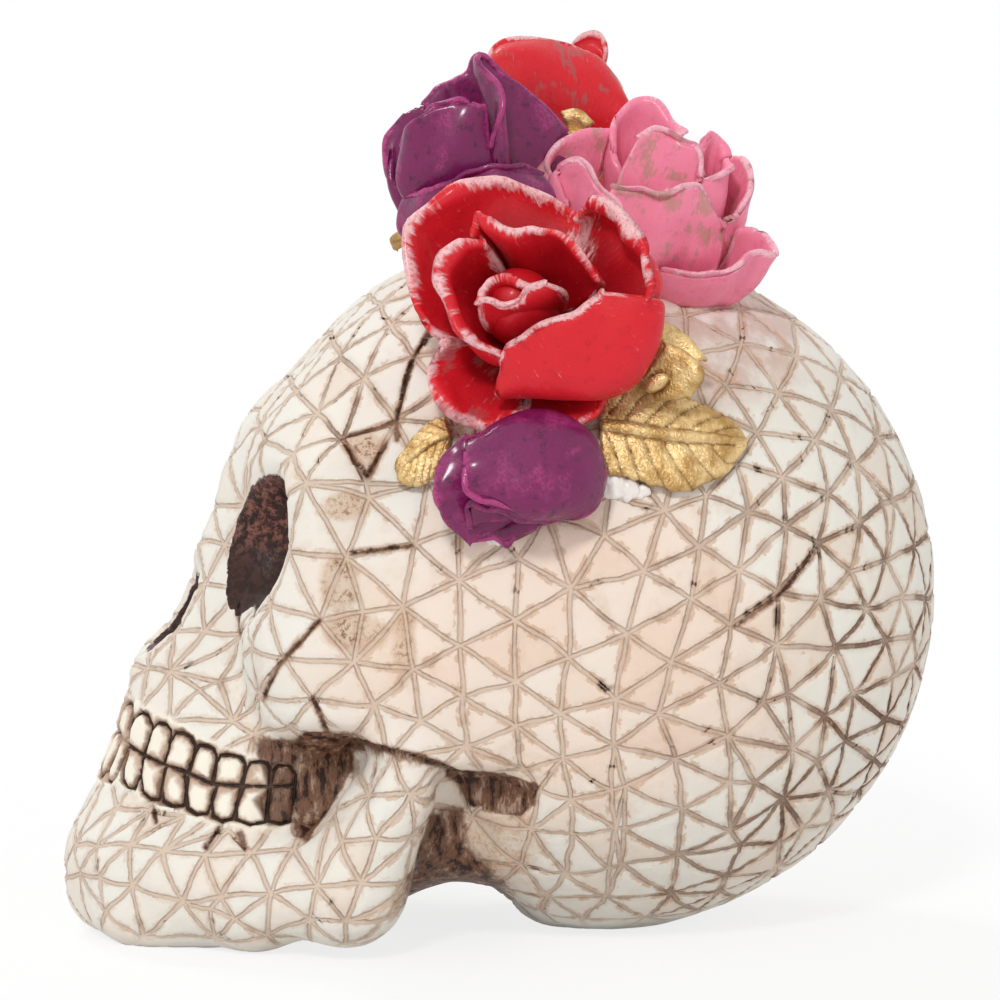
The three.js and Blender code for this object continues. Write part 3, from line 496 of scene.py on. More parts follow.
# Corners of the carved triangles on the side that the photograph shows
NET_PIXELS: Pixels = (
    (739, 306), (743, 343), (727, 384), (798, 355), (780, 392), (758, 432), (842, 375), (833, 407), (817, 440),
    (783, 477), (880, 437), (857, 464), (830, 494), (788, 525), (749, 511), (895, 502), (862, 522), (820, 543),
    (779, 592), (821, 600), (851, 572), (887, 560), (916, 545), (869, 610), (905, 596), (740, 570), (699, 546),
    (665, 511), (707, 495), (645, 572), (693, 599), (891, 421), (912, 487), (850, 362), (791, 320), (737, 463),
    (686, 315), (627, 634), (732, 625), (672, 663), (720, 683), (778, 646), (837, 649), (889, 641), (914, 635),
    (854, 694), (895, 677), (916, 663), (789, 695), (659, 714), (615, 700), (615, 747), (677, 760), (728, 737),
    (794, 749), (846, 740), (887, 721), (731, 784), (784, 800), (830, 792), (875, 760), (682, 810), (625, 789),
    (731, 831), (780, 842), (834, 821), (678, 857), (624, 830), (725, 877), (776, 869), (671, 895), (622, 865),
    (721, 892), (320, 620), (403, 607), (458, 581), (519, 559), (571, 589), (515, 620), (461, 646), (569, 657),
    (515, 682), (462, 697), (414, 670), (354, 662), (284, 660), (258, 695), (312, 700), (375, 707), (420, 722),
    (516, 727), (560, 714), (467, 747), (522, 770), (562, 760), (281, 552), (347, 557), (415, 544), (268, 606),
    (505, 541), (605, 534), (370, 497), (609, 495), (387, 756), (367, 795), (412, 796), (451, 786), (340, 841),
    (377, 839), (415, 835), (293, 848), (251, 852), (316, 885), (362, 884), (406, 881), (271, 893), (346, 922),
    (384, 920), (309, 920), (98, 878), (97, 845), (129, 844), (163, 850), (205, 855), (114, 808), (148, 811),
    (184, 814), (228, 829), (133, 887), (182, 904), (219, 897), (74, 844), (79, 875), (105, 912), (210, 910),
    (235, 920), (537, 791), (572, 800), (610, 791), (531, 831), (572, 835), (615, 830), (520, 866), (565, 875),
    (610, 870), (547, 897), (372, 284), (380, 305), (389, 324), (414, 355), (331, 332), (339, 355), (364, 377),
    (395, 420), (292, 380), (295, 391), (316, 412), (341, 438), (259, 426), (262, 439), (292, 454), (304, 483),
    (367, 484), (279, 491), (215, 506), (225, 544), (245, 506), (202, 543), (203, 582), (203, 631), (175, 631),
    (238, 635), (170, 672), (147, 668), (219, 680), (200, 689), (232, 720), (169, 721), (130, 690), (253, 734),
)

# Upper and lower limits of the rows of teeth
TOOTH_TOPS: Pixels = (
    (108, 724), (128, 716), (141, 706), (163, 716), (183, 726), (206, 740), (232, 750), (258, 757), (290, 760),
    (302, 765),
)
TOOTH_BOTTOMS: Pixels = (
    (106, 774), (120, 784), (135, 792), (150, 804), (175, 811), (200, 819), (225, 826), (250, 829), (285, 828),
    (302, 822),
)

# Carved outlines of the teeth, upper row and lower row, and the line between the rows
TOOTH_OUTLINES: tuple[Pixels, ...] = (
    ((118, 730), (129, 746), (143, 755), (165, 765), (183, 771), (211, 784), (242, 786), (269, 787), (296, 786)),
    ((128, 742), (130, 728), (135, 717), (141, 712), (148, 716), (152, 725), (149, 740), (143, 753)),
    ((145, 752), (152, 730), (158, 722), (165, 724), (170, 731), (168, 748), (163, 764)),
    ((164, 763), (168, 744), (175, 732), (184, 733), (191, 738), (195, 746), (192, 760), (187, 773)),
    ((188, 773), (194, 754), (199, 745), (207, 746), (213, 749), (216, 756), (215, 770), (212, 784)),
    ((212, 784), (215, 764), (220, 755), (232, 755), (241, 758), (245, 764), (244, 774), (241, 786)),
    ((242, 786), (246, 770), (250, 763), (260, 762), (267, 764), (271, 772), (269, 787)),
    ((270, 787), (273, 772), (278, 766), (290, 767), (296, 775), (296, 786)),
    ((128, 752), (123, 768), (122, 780), (126, 788), (134, 788), (139, 774), (142, 758)),
    ((143, 758), (140, 776), (142, 792), (150, 799), (159, 799), (162, 784), (164, 768)),
    ((165, 768), (161, 786), (163, 801), (172, 806), (183, 805), (185, 790), (184, 776)),
    ((187, 778), (185, 794), (187, 808), (196, 814), (207, 813), (211, 800), (216, 786)),
    ((216, 787), (211, 802), (213, 816), (222, 821), (232, 819), (237, 804), (241, 788)),
    ((243, 789), (236, 804), (236, 819), (250, 824), (265, 821), (268, 806), (269, 789)),
    ((270, 789), (267, 806), (269, 820), (280, 823), (290, 820), (294, 804), (295, 788)),
)

# Outlines of the front teeth as seen from the front, in shares of the half width and the height
FRONT_TEETH: tuple[Pixels, ...] = (
    (
        (0.005, 0.293), (0.004, 0.321), (0.023, 0.336), (0.069, 0.34), (0.108, 0.335), (0.127, 0.321),
        (0.129, 0.289),
    ),
    ((0.005, 0.289), (0.004, 0.248), (0.023, 0.233), (0.062, 0.231), (0.085, 0.244), (0.09, 0.286)),
    ((0.095, 0.286), (0.093, 0.244), (0.112, 0.23), (0.14, 0.229), (0.156, 0.241), (0.158, 0.281)),
)

# Grooves, nicks and cracks that the stain has made darkest, and the cheek's lower edge, partly painted shade
DARK_LINES: tuple[Pixels, ...] = (
    ((344, 444), (367, 476), (386, 444)),
    ((341, 438), (368, 430), (395, 420)),
    ((395, 420), (404, 388), (414, 355), (430, 330)),
    ((395, 420), (397, 440)),
    ((735, 627), (780, 595), (817, 552)),
    ((262, 700), (281, 662), (320, 620)),
    ((312, 700), (328, 733)),
    ((238, 612), (238, 634)),
    ((259, 606), (241, 632)),
    ((222, 824), (206, 847)),
    ((239, 830), (245, 847)),
    ((152, 805), (156, 822)),
    ((352, 553), (412, 546)),
    # The cheek's lower edge: stain in the crease and painted shade under the overhang
    ((350, 738), (390, 750), (420, 757), (452, 769)),
)

# Lower edge of the cheek, below which the jaw stands further in
CHEEK_EDGE: Pixels = ((345, 737), (390, 750), (420, 757), (450, 768), (462, 773))

# Stain behind the teeth, in the slit behind the jaw and on the back teeth, and painted shade beside the jaw
BEHIND_TEETH: Pixels = (
    (304, 730), (349, 733), (351, 762), (340, 790), (324, 815), (306, 838), (293, 832), (296, 800), (302, 765),
)
BEHIND_JAW: Pixels = (
    (452, 772), (490, 772), (538, 785), (535, 802), (520, 817), (500, 812), (480, 806), (462, 812), (446, 800),
)
UNDER_JAW: Pixels = (
    (430, 815), (462, 810), (466, 846), (500, 880), (512, 893), (455, 890), (402, 902), (412, 872), (422, 845),
)
BACK_TEETH: Pixels = ((250, 738), (300, 738), (302, 790), (296, 824), (268, 828), (252, 800), (266, 786))

# Outline of the dark part of the eye socket
SOCKET: Pixels = (
    (251, 489), (262, 481), (273, 480), (279, 500), (281, 536), (275, 568), (265, 592), (252, 606), (238, 615),
    (228, 607), (226, 585), (229, 554), (235, 530), (242, 511),
)


def inside(pixels: Array, outline: Pixels) -> Array:
    """Find how far pixels are inside an outline.

    Args:
        pixels: The pixels.
        outline: The outline's corners in order.

    Returns:
        The distances in pixels, less than 0 outside.
    """
    corners = np.array([*outline, outline[0]], float)
    closest = polyline_distance(pixels, [corners])
    crossings = np.zeros(len(pixels), int)
    for start, end in zip(corners[:-1], corners[1:]):
        if start[1] != end[1]:
            level = (pixels[:, 1] - start[1]) / (end[1] - start[1])
            crossings += (level >= 0) & (level < 1) & (pixels[:, 0] < start[0] + level * (end[0] - start[0]))
    return np.where(crossings % 2 == 1, closest, -closest)


@dataclass(frozen=True)
class Patch:
    """A round patch in the picture that fades between two shares of its reach."""

    middle: tuple[float, float]
    reach: tuple[float, float]
    end: float = 1.3
    full: float = 0.4
    strength: float = 0.8

    def share(self, pixels: Array) -> Array:
        """Give how strong the patch is at pixels."""
        away = (pixels - self.middle) / self.reach
        return smooth_step(np.hypot(away[:, 0], away[:, 1]), self.end, self.full) * self.strength


# Stained patches beside the eye, painted shade under the jaw, the dark grooves of the brow, and the pale flank
STAINED_AND_SHADED_PATCHES = (
    Patch((338, 583), (22, 36)), Patch((357, 632), (38, 22)), Patch((347, 506), (28, 18)),
    Patch((405, 640), (14, 46)), Patch((366, 448), (24, 18)), Patch((495, 845), (60, 40), 1.2, 0.4, 0.5),
)
DARK_BROW = Patch((375, 410), (70, 80), 1.1, 0.5, 0.8)
PALE_FLANK = Patch((570, 650), (260, 190), 1.25, 0.55, 1.0)


@dataclass
class TriangleNet:
    """The net of grooves that covers the skull, as triangles round a centre."""

    form: SkullForm
    centre: Triple = (0.0, 12.0, 60.0)
    spacing: float = 8.2
    middle_band: float = 3.4
    wobble: float = 0.2
    wave: float = 9.0
    wave_seeds: tuple[int, ...] = (11, 12, 13)
    ray_count: int = 5200
    order_seed: int = 5
    room: float = 0.84
    least_height: float = 2.0
    relax_rounds: int = 4
    relax_share: float = 0.6
    neighbours: int = 9
    corners: Array = field(init=False)
    triangles: Array = field(init=False)
    planes: Array = field(init=False)
    starts: Array = field(init=False)
    tree: KDTree = field(init=False)

    def __post_init__(self) -> None:
        """Lay the traced corners, fill what the photograph doesn't show, and join them all."""
        traced = self.snapped(self.form.seen_at(NET_PIXELS))
        added = self.filled(traced)
        for _ in range(self.relax_rounds):
            added = self.relaxed(traced, added)
        self.corners = self.both_sides(np.concatenate([traced, added]))
        self.triangles = self.joined(self.corners)
        self.stand_sides()

    def snapped(self, points: Array) -> Array:
        """Move places to the +X side, and those beside the middle plane into it."""
        points = points.copy()
        points[:, 0] = np.abs(points[:, 0])
        points[points[:, 0] < self.middle_band, 0] = 0.0
        return points

    def both_sides(self, points: Array) -> Array:
        """Add the mirrored places to those of the +X side."""
        aside = points[points[:, 0] > 0]
        return np.concatenate([points, aside * [-1, 1, 1]])

    def directions(self, points: Array) -> Array:
        """Find the directions of places from the centre."""
        return unit(points - np.array(self.centre))

    def filled(self, traced: Array) -> Array:
        """Add corners wherever the traced ones leave room.

        Args:
            traced: The corners read from the photograph, on the +X side.

        Returns:
            The added corners, on the +X side.
        """
        numbers = np.arange(self.ray_count)
        heights = 1 - 2 * (numbers + 0.5) / self.ray_count
        turns = numbers * math.pi * (3 - math.sqrt(5))
        rounds = np.sqrt(1 - heights**2)
        rays = np.stack([rounds * np.cos(turns), rounds * np.sin(turns), heights], -1)
        rays = rays[rays[:, 0] > -0.02]
        found = self.snapped(self.form.from_centre(rays, np.array(self.centre)))
        found = found[found[:, 2] > self.least_height]
        order = np.random.default_rng(self.order_seed).permutation(len(found))
        taken = list(self.both_sides(traced))
        added = []
        for spot in found[order]:
            if np.min(np.linalg.norm(np.array(taken) - spot, axis=1)) > self.spacing * self.room:
                added.append(spot)
                taken.extend([spot, spot * [-1, 1, 1]])
        return np.array(added)

    def joined(self, points: Array) -> Array:
        """Join places into triangles round the centre.

        Args:
            points: The corners on both sides.

        Returns:
            The vertex numbers of the triangles.
        """
        hull = bmesh.new()
        for number, direction in enumerate(self.directions(points)):
            hull.verts.new(direction).index = number
        hull.verts.ensure_lookup_table()
        bmesh.ops.convex_hull(hull, input=hull.verts)
        bmesh.ops.triangulate(hull, faces=hull.faces)
        triangles = np.array([[corner.index for corner in face.verts] for face in hull.faces])
        hull.free()
        return triangles

    def relaxed(self, traced: Array, added: Array) -> Array:
        """Move the added corners to the middle of their neighbours.

        Args:
            traced: The corners that stay.
            added: The corners that move.

        Returns:
            The moved corners.
        """
        half = np.concatenate([traced, added])
        points = self.both_sides(half)
        total = np.zeros_like(points)
        count = np.zeros(len(points))
        for a, b, c in self.joined(points):
            for first, second in ((a, b), (b, c), (c, a)):
                total[first] += points[second]
                total[second] += points[first]
                count[[first, second]] += 1
        middle = (total / np.maximum(count, 1)[:, None])[: len(half)]
        moved = half + self.relax_share * (middle - half)
        moved[half[:, 0] == 0, 0] = 0.0
        moved = moved[len(traced) :]
        onto = self.form.from_centre(self.directions(moved), np.array(self.centre))
        onto[moved[:, 0] == 0, 0] = 0.0
        return onto

    def stand_sides(self) -> None:
        """Stand a plane on each side of each triangle, upright on the skull."""
        corners = self.corners[self.triangles]
        upright = self.form.normals(corners)
        planes = []
        for i in range(3):
            start, end, other = (corners[:, (i + j) % 3] for j in range(3))
            plane = unit(np.cross(end - start, upright[:, i] + upright[:, (i + 1) % 3]))
            planes.append(plane * np.sign(np.sum(plane * (other - start), -1, keepdims=True)))
        self.planes = np.stack(planes, 1)
        self.starts = np.sum(self.planes * corners, -1)
        self.tree = KDTree(len(corners))
        for number, middle in enumerate(corners.mean(1)):
            self.tree.insert(middle, number)
        self.tree.balance()

    def depths(self, points: Array, triangles: Array) -> Array:
        """Find how far places are inside each side of given triangles."""
        waves = np.stack([ripple(points, self.wave, seed) for seed in self.wave_seeds], -1)
        spots = points + waves * self.wobble
        return np.einsum("...ij,...j->...i", self.planes[triangles], spots) - self.starts[triangles]

    def home(self, points: Array) -> Array:
        """Find the triangle that each place is in."""
        near = np.array([[found[1] for found in self.tree.find_n(point, self.neighbours)] for point in points])
        depths = self.depths(np.repeat(points[:, None], near.shape[1], 1), near).min(-1)
        return near[np.arange(len(points)), depths.argmax(1)]


class Socket:
    """A number in a shader, with arithmetic that adds its Math nodes."""

    def __init__(self, shader: "Shader", link: bpy.types.NodeSocket) -> None:
        """Keep the shader and the socket that gives the number."""
        self.shader = shader
        self.link = link

    def __add__(self, other: "Socket | float") -> "Socket":
        """Add a number."""
        return self.shader.maths("ADD", self, other)

    __radd__ = __add__

    def __mul__(self, other: "Socket | float") -> "Socket":
        """Multiply by a number."""
        return self.shader.maths("MULTIPLY", self, other)

    __rmul__ = __mul__

    def __sub__(self, other: "Socket | float") -> "Socket":
        """Take a number away."""
        return self.shader.maths("SUBTRACT", self, other)

    def __rsub__(self, other: "Socket | float") -> "Socket":
        """Take this from a number."""
        return self.shader.maths("SUBTRACT", other, self)

    def step(self, low: "Socket | float", high: "Socket | float") -> "Socket":
        """Rise smoothly from 0 at low to 1 at high, or fall where low is the higher."""
        inputs = {"Value": self, "From Min": low, "From Max": high, "To Min": 0.0, "To Max": 1.0}
        return self.shader.number("ShaderNodeMapRange", {"interpolation_type": "SMOOTHSTEP"}, inputs, "Result")

    def clamped(self) -> "Socket":
        """Keep the number between 0 and 1."""
        return self.shader.number("ShaderNodeClamp", {}, {"Value": self}, "Result")


class Shader:
    """The node tree of a material or of a world."""

    def __init__(self, name: str, world: bpy.types.World | None = None) -> None:
        """Start the empty node tree of a new material, or of a given world."""
        self.owner = world or bpy.data.materials.new(name)
        self.owner.use_nodes = True
        self.tree = self.owner.node_tree
        self.tree.nodes.clear()

    def node(self, kind: str, settings: dict[str, object], inputs: dict[str | int, object]) -> bpy.types.Node:
        """Add a node.

        Args:
            kind: The node's type.
            settings: Its settings by name, set first.
            inputs: The value or link of each socket by name or number.

        Returns:
            The node.
        """
        node = self.tree.nodes.new(kind)
        for name, value in settings.items():
            setattr(node, name, value)
        for name, value in inputs.items():
            if isinstance(value, Socket):
                self.tree.links.new(value.link, node.inputs[name])
            else:
                node.inputs[name].default_value = value
        return node

    def number(
        self, kind: str, settings: dict[str, object], inputs: dict[str | int, object], output: str | int
    ) -> Socket:
        """Add a node and give one of its outputs."""
        return Socket(self, self.node(kind, settings, inputs).outputs[output])

    def maths(self, operation: str, first: Socket | float, second: Socket | float) -> Socket:
        """Add a Math node."""
        return self.number("ShaderNodeMath", {"operation": operation}, {0: first, 1: second}, 0)

    def attribute(self, name: str) -> Socket:
        """Read a number that the mesh stores at its vertices or corners."""
        return self.number("ShaderNodeAttribute", {"attribute_name": name}, {}, "Fac")

    def place(self, scale: Triple = (METRE, METRE, METRE)) -> Socket:
        """Give the place on the object in millimetres, or stretched by another scale."""
        spot = self.number("ShaderNodeTexCoord", {}, {}, "Object")
        return self.number("ShaderNodeVectorMath", {"operation": "MULTIPLY"}, {0: spot, 1: scale}, 0)

    def noise(
        self, size: float, detail: float = 3.0, roughness: float = 0.55, spot: Socket | None = None
    ) -> Socket:
        """Give noise between 0 and 1 with features of a size in millimetres."""
        inputs = {"Vector": spot or self.place(), "Scale": 1.0 / size, "Detail": detail, "Roughness": roughness}
        return self.number("ShaderNodeTexNoise", {}, inputs, "Fac")

    def mix(self, share: Socket | float, first: object, second: object) -> Socket:
        """Mix two colours."""
        return self.number("ShaderNodeMix", {"data_type": "RGBA"}, {0: share, 6: first, 7: second}, 2)

    def bump(self, height: Socket, distance: float, strength: float = 1.0) -> Socket:
        """Turn a height between 0 and 1 into a normal, at a distance in millimetres for the full height."""
        inputs = {"Height": height, "Distance": distance / METRE, "Strength": strength}
        return self.number("ShaderNodeBump", {}, inputs, "Normal")

    def finish(self, values: dict[str, object]) -> bpy.types.Material:
        """Close the material with a surface shader.

        Args:
            values: The surface shader's sockets.

        Returns:
            The material.
        """
        surface = self.number("ShaderNodeBsdfPrincipled", {}, values, 0)
        self.node("ShaderNodeOutputMaterial", {}, {"Surface": surface})
        return self.owner


@dataclass(frozen=True)
class SkullPaint:
    """Ivory paint rubbed with brown stain, which stays in all that is carved, and painted shade on the
    undersides.
    """

    ivory: Colour = paint(233, 229, 219)
    peach: Colour = paint(238, 214, 196)
    groove: Colour = paint(212, 186, 164)
    smudge: Colour = paint(200, 162, 132)
    fringe: Colour = paint(168, 126, 96)
    ash: Colour = paint(172, 148, 130)
    umber: Colour = paint(100, 64, 44)
    tea: Colour = paint(206, 178, 150)
    mauve: Colour = paint(200, 170, 158)
    black: Colour = paint(32, 15, 10)
    rust: Colour = paint(136, 88, 76)
    enamel: Colour = paint(246, 239, 222)

    def material(self) -> bpy.types.Material:
        """Build the material from the carvings that the mesh stores."""
        return IvoryCoats(self).material()


class IvoryCoats:
    """The skull's paint while it is laid, one coat over another."""

    def __init__(self, paints: SkullPaint) -> None:
        """Start with bare ivory, the noises and the lines of the carved net."""
        self.paints = paints
        self.shader = Shader("ivory_paint")
        self.colour: Socket | Colour = paints.ivory
        self.fine = self.shader.noise(0.7)
        self.ragged = self.shader.noise(0.8, 4.0, 0.7)
        self.broken = self.shader.noise(3.0, 3.0, 0.6)
        self.blotch = self.shader.noise(7.0, 4.0, 0.6)
        self.dark = self.shader.attribute("dark")
        self.rubbed = self.shader.attribute("rubbed")
        self.brown = self.shader.attribute("brown")
        self.net_on = self.shader.attribute("net_on")
        stored = (self.shader.attribute(f"side_{number}") for number in range(3))
        sides = [self.shader.maths("ABSOLUTE", side, 0.0) for side in stored]
        self.line = self.shader.maths("MINIMUM", self.shader.maths("MINIMUM", sides[0], sides[1]), sides[2])
        self.distance = self.line + (self.ragged - 0.5) * 0.45 + (self.broken - 0.5) * 0.4
        self.channel = self.distance.step(0.5, 0.28) * self.net_on

    def lay(self, share: Socket, over: Colour | Socket) -> None:
        """Lay a colour over the paint by a share."""
        self.colour = self.shader.mix(share, self.colour, over)

    def wash(self) -> None:
        """Tinge the ivory with thin washes."""
        tone = self.shader.attribute("tone")
        tinge = self.shader.attribute("tinge") * 0.8 + (self.shader.noise(30.0, 2.0) - 0.5) * 0.9
        self.lay((tinge + (tone - 0.5) * 0.5).clamped(), self.paints.peach)
        film = tone.step(0.55, 1.0) * (self.broken * 0.5 + self.blotch * 0.6) * self.rubbed
        self.lay((film * 0.45).clamped(), self.paints.tea)
        halo = self.distance.step(1.6, 0.4) * self.net_on
        patches = self.blotch.step(0.54, 0.78) * 0.34 + halo * (0.1 + self.dark * 0.25)
        self.lay(patches.clamped(), self.paints.tea)
        washed = self.shader.attribute("wash") * self.blotch.step(0.3, 0.62) * 0.75
        self.lay(washed.clamped(), self.paints.mauve)

    def shade(self) -> None:
        """Stain the patches beside the eye, and lay painted shade under the jaw and on the undersides."""
        stored = self.shader.attribute("shade")
        shade = stored + (self.ragged - 0.5) * 0.5 + (self.blotch - 0.5) * 0.9
        shade = shade * stored.step(0.0, 0.2)
        self.lay(shade.step(0.1, 0.6) * (0.4 + self.broken * 0.6), self.paints.tea)
        worn = self.ragged.step(0.46, 0.6) * self.broken.step(0.35, 0.6)
        self.lay(shade.step(0.3, 0.8) * worn * 0.85, self.paints.fringe)
        self.lay(shade.step(0.5, 0.95) * worn * self.blotch.step(0.4, 0.6) * 0.6, self.paints.umber)

    def fill_net(self) -> None:
        """Leave stain in the grooves of the net and smear it beside them."""
        self.lay(self.channel * 0.8, self.paints.groove)
        beside = (self.line + (self.ragged - 0.5) * 1.5 + (self.broken - 0.5) * 1.2).step(1.15, 0.95)
        beside = beside * (1.0 - self.channel) * self.net_on
        smear = beside * self.shader.noise(4.5, 2.0).step(0.5, 0.56) * (0.15 + self.blotch * 0.9) * self.rubbed
        self.lay(smear.clamped(), self.paints.smudge)
        rim = self.distance.step(0.26, 0.4) * self.distance.step(0.62, 0.46) * self.net_on
        self.lay(rim * self.broken.step(0.42, 0.6) * (0.2 + self.blotch * 0.5), self.paints.fringe)
        lasting = self.shader.noise(9.0, 2.0).step(0.36, 0.58)
        kept = (self.dark * lasting + self.blotch.step(0.54, 0.74) * 0.4) * self.ragged.step(0.1, 0.5)
        self.lay(((rim * 0.3 + self.channel * 0.9) * kept).clamped(), self.paints.umber)

    def fill_nicks(self) -> None:
        """Fill the darkest grooves and cracks with stain, and the cheek's lower edge with painted shade."""
        stroke = self.shader.attribute("stroke") + (self.ragged - 0.5) * 0.6 + (self.broken - 0.5) * 1.2
        self.lay(stroke.step(1.1, 0.4) * 0.6, self.paints.fringe)
        self.lay(stroke.step(0.6, 0.25) * (self.blotch * 0.7 + 0.4).clamped(), self.paints.umber)
        self.lay(stroke.step(0.35, 0.1) * self.blotch.step(0.4, 0.55) * 0.8, self.paints.black)

    def stain(self) -> None:
        """Rub the deep places brown, in upright streaks, which also lays painted shade below the cheek and beside
        the jaw.
        """
        fibre = self.shader.noise(1.0, 6.0, 0.68, self.shader.place((560.0, 560.0, 170.0)))
        uneven = ((self.blotch - 0.5) + (fibre - 0.5) * 1.5) * self.brown.step(0.0, 0.25)
        stain = (self.brown * 1.3 + uneven).clamped()
        self.lay(stain * 0.85, self.paints.fringe)
        self.lay((stain.step(0.25, 0.8) * (0.75 + self.fine * 0.3)).clamped(), self.paints.umber)
        self.lay(stain.step(0.3, 0.7) * fibre.step(0.53, 0.66) * 0.85, self.paints.ash)
        self.lay(stain.step(0.35, 0.75) * fibre.step(0.5, 0.4) * 0.95, self.paints.black)

    def paint_teeth(self) -> Socket:
        """Paint the teeth paler, with stain round each of them.

        Returns:
            The gaps between the teeth, from 0 to 1.
        """
        cut = self.shader.attribute("cut")
        clean = self.shader.attribute("teeth") * (1.0 - self.brown * 1.35).clamped()
        self.lay(clean * 0.75, self.paints.enamel)
        self.lay((cut + (self.blotch - 0.6) * 5.0).step(1.2, 0.1) * clean * 0.7, self.paints.fringe)
        self.lay((cut + (self.broken - 0.5) * 2.2).step(0.8, 0.3) * clean * 0.7, self.paints.umber)
        gap = (cut + (self.ragged - 0.5) * 0.4 + (self.broken - 0.5) * 0.4).step(0.34, 0.18)
        self.lay(gap * (self.blotch.step(0.25, 0.55) * 0.35 + 0.55), self.paints.black)
        return gap

    def darken_sockets(self) -> tuple[Socket, Socket]:
        """Paint the eye sockets and the nose black with rusty mottles.

        Returns:
            The black places and the mottles, from 0 to 1.
        """
        edge = (self.shader.attribute("socket") + (self.ragged - 0.5) * 0.4).step(0.34, 0.5)
        rusty = edge * (self.shader.attribute("mottle") * 0.85 + 0.15)
        mottle = self.shader.noise(1.6, 4.0, 0.7).step(0.42, 0.6) * rusty
        share = (mottle * 0.85 + self.fine * 0.1).clamped()
        self.lay(edge, self.shader.mix(share, self.paints.black, self.paints.rust))
        return edge, mottle

    def material(self) -> bpy.types.Material:
        """Lay every coat and close the material.

        Returns:
            The material.
        """
        self.wash()
        self.shade()
        self.fill_net()
        self.fill_nicks()
        self.stain()
        gap = self.paint_teeth()
        edge, mottle = self.darken_sockets()
        height = 1.0 - self.distance.step(0.6, 0.15) * self.net_on * 0.8 - gap * 0.7
        height = height + (self.fine - 0.5) * 0.16 + (self.blotch - 0.5) * 0.3 - mottle * 0.5
        values = {
            "Base Color": self.colour,
            "Roughness": 0.46 + self.fine * 0.14 - edge * 0.22,
            "Specular IOR Level": 0.25,
            "Normal": self.shader.bump(height, 0.45, 0.9),
        }
        return self.shader.finish(values)


@dataclass(frozen=True)
class PetalPaint:
    """Petal paint with a paler dry-brushed rim, painted shade deep in the flower and painted glints."""

    name: str
    base: Colour
    deep: Colour
    rim: Colour
    dust: Colour
    rim_strength: float = 0.85
    dust_strength: float = 0.8
    glints: float = 0.0
    coat: float = 0.18
    roughness: float = 0.38
    mottle: float = 0.25

    def material(self) -> bpy.types.Material:
        """Build the material from the rim distance that the mesh stores.

        Returns:
            The material.
        """
        shader = Shader(self.name)
        across, up, inner = (shader.attribute(name) for name in ("across", "up", "inner"))
        edge, deep = shader.attribute("rim"), shader.attribute("deep")
        fine = shader.noise(0.55, 4.0, 0.7)
        stroke = shader.number("ShaderNodeCombineXYZ", {}, {0: across * 1.2, 1: up * 0.24, 2: inner * 7.0}, 0)
        streak = shader.noise(1.0, 4.0, 0.65, stroke)
        blotch = shader.noise(5.0, 3.0)
        patch = shader.noise(8.0, 2.0).step(0.36, 0.62)
        dry = edge.step(shader.attribute("brush") * (0.4 + blotch), 0.0) * (0.1 + patch * 0.45)
        brushed = (streak + dry).step(0.62, 0.92) * fine.step(0.22, 0.52)
        # Painted shade: the deep colour darkens the petals towards the heart and on their inner faces
        colour = shader.mix((deep * 1.3 + (blotch - 0.55) * 0.8).clamped(), self.base, self.deep)
        clotted = shader.noise(2.2, 5.0, 0.75).step(0.53, 0.66)
        colour = shader.mix(clotted * self.mottle, colour, self.deep)
        # Painted highlight: random paler patches of the rim colour stand for glints
        colour = shader.mix(blotch.step(0.5, 0.66) * fine.step(0.35, 0.6) * self.glints, colour, self.rim)
        colour = shader.mix((brushed * self.rim_strength).clamped(), colour, self.rim)
        stain = shader.attribute("stain") * self.dust_strength
        dusty = (blotch * 0.8 + streak * 0.35 + fine * 0.1).step(0.65, 0.73) * (0.35 + streak * 0.8)
        colour = shader.mix((dusty * stain).clamped(), colour, self.dust)
        height = fine * 0.35 + streak * 0.65 + brushed * 0.3
        values = {
            "Base Color": colour,
            "Roughness": self.roughness + brushed * 0.25 + (fine - 0.5) * 0.15,
            "Specular IOR Level": 0.18,
            "Coat Weight": self.coat,
            "Coat Roughness": 0.16,
            "Normal": shader.bump(height, 0.35, 0.7),
        }
        return shader.finish(values)


@dataclass(frozen=True)
class GoldPaint:
    """Gold paint over brown, rubbed bright on what stands proud."""

    bright: Colour = paint(231, 200, 144)
    dull: Colour = paint(180, 141, 84)
    umber: Colour = paint(104, 62, 26)

    def material(self) -> bpy.types.Material:
        """Build the material from the veins that the mesh stores.

        Returns:
            The material.
        """
        shader = Shader("gold_paint")
        vein = shader.attribute("vein")
        fine = shader.noise(0.5, 3.0)
        blotch = shader.noise(4.0, 4.0, 0.6)
        colour = shader.mix(blotch.step(0.35, 0.65), self.bright, self.dull)
        dark = (vein * (0.65 + fine * 0.5) + blotch.step(0.62, 0.8) * 0.4).clamped()
        colour = shader.mix(dark * 0.85, colour, self.umber)
        values = {
            "Base Color": colour,
            "Metallic": 0.75 - dark * 0.35,
            "Roughness": 0.3 + fine * 0.2,
            "Normal": shader.bump(fine * 0.4 + blotch * 0.6, 0.6, 0.9),
        }
        return shader.finish(values)


@dataclass(frozen=True)
class ResinPaint:
    """Plain cast resin or set glue."""

    name: str
    base: Colour
    tint: Colour
    roughness: float

    def material(self) -> bpy.types.Material:
        """Build the material.

        Returns:
            The material.
        """
        shader = Shader(self.name)
        blotch = shader.noise(3.0, 4.0, 0.6)
        fine = shader.noise(0.6, 3.0)
        values = {
            "Base Color": shader.mix(blotch.step(0.35, 0.7), self.base, self.tint),
            "Roughness": self.roughness + fine * 0.1,
            "Normal": shader.bump(blotch * 0.6 + fine * 0.4, 0.25, 0.6),
        }
        return shader.finish(values)


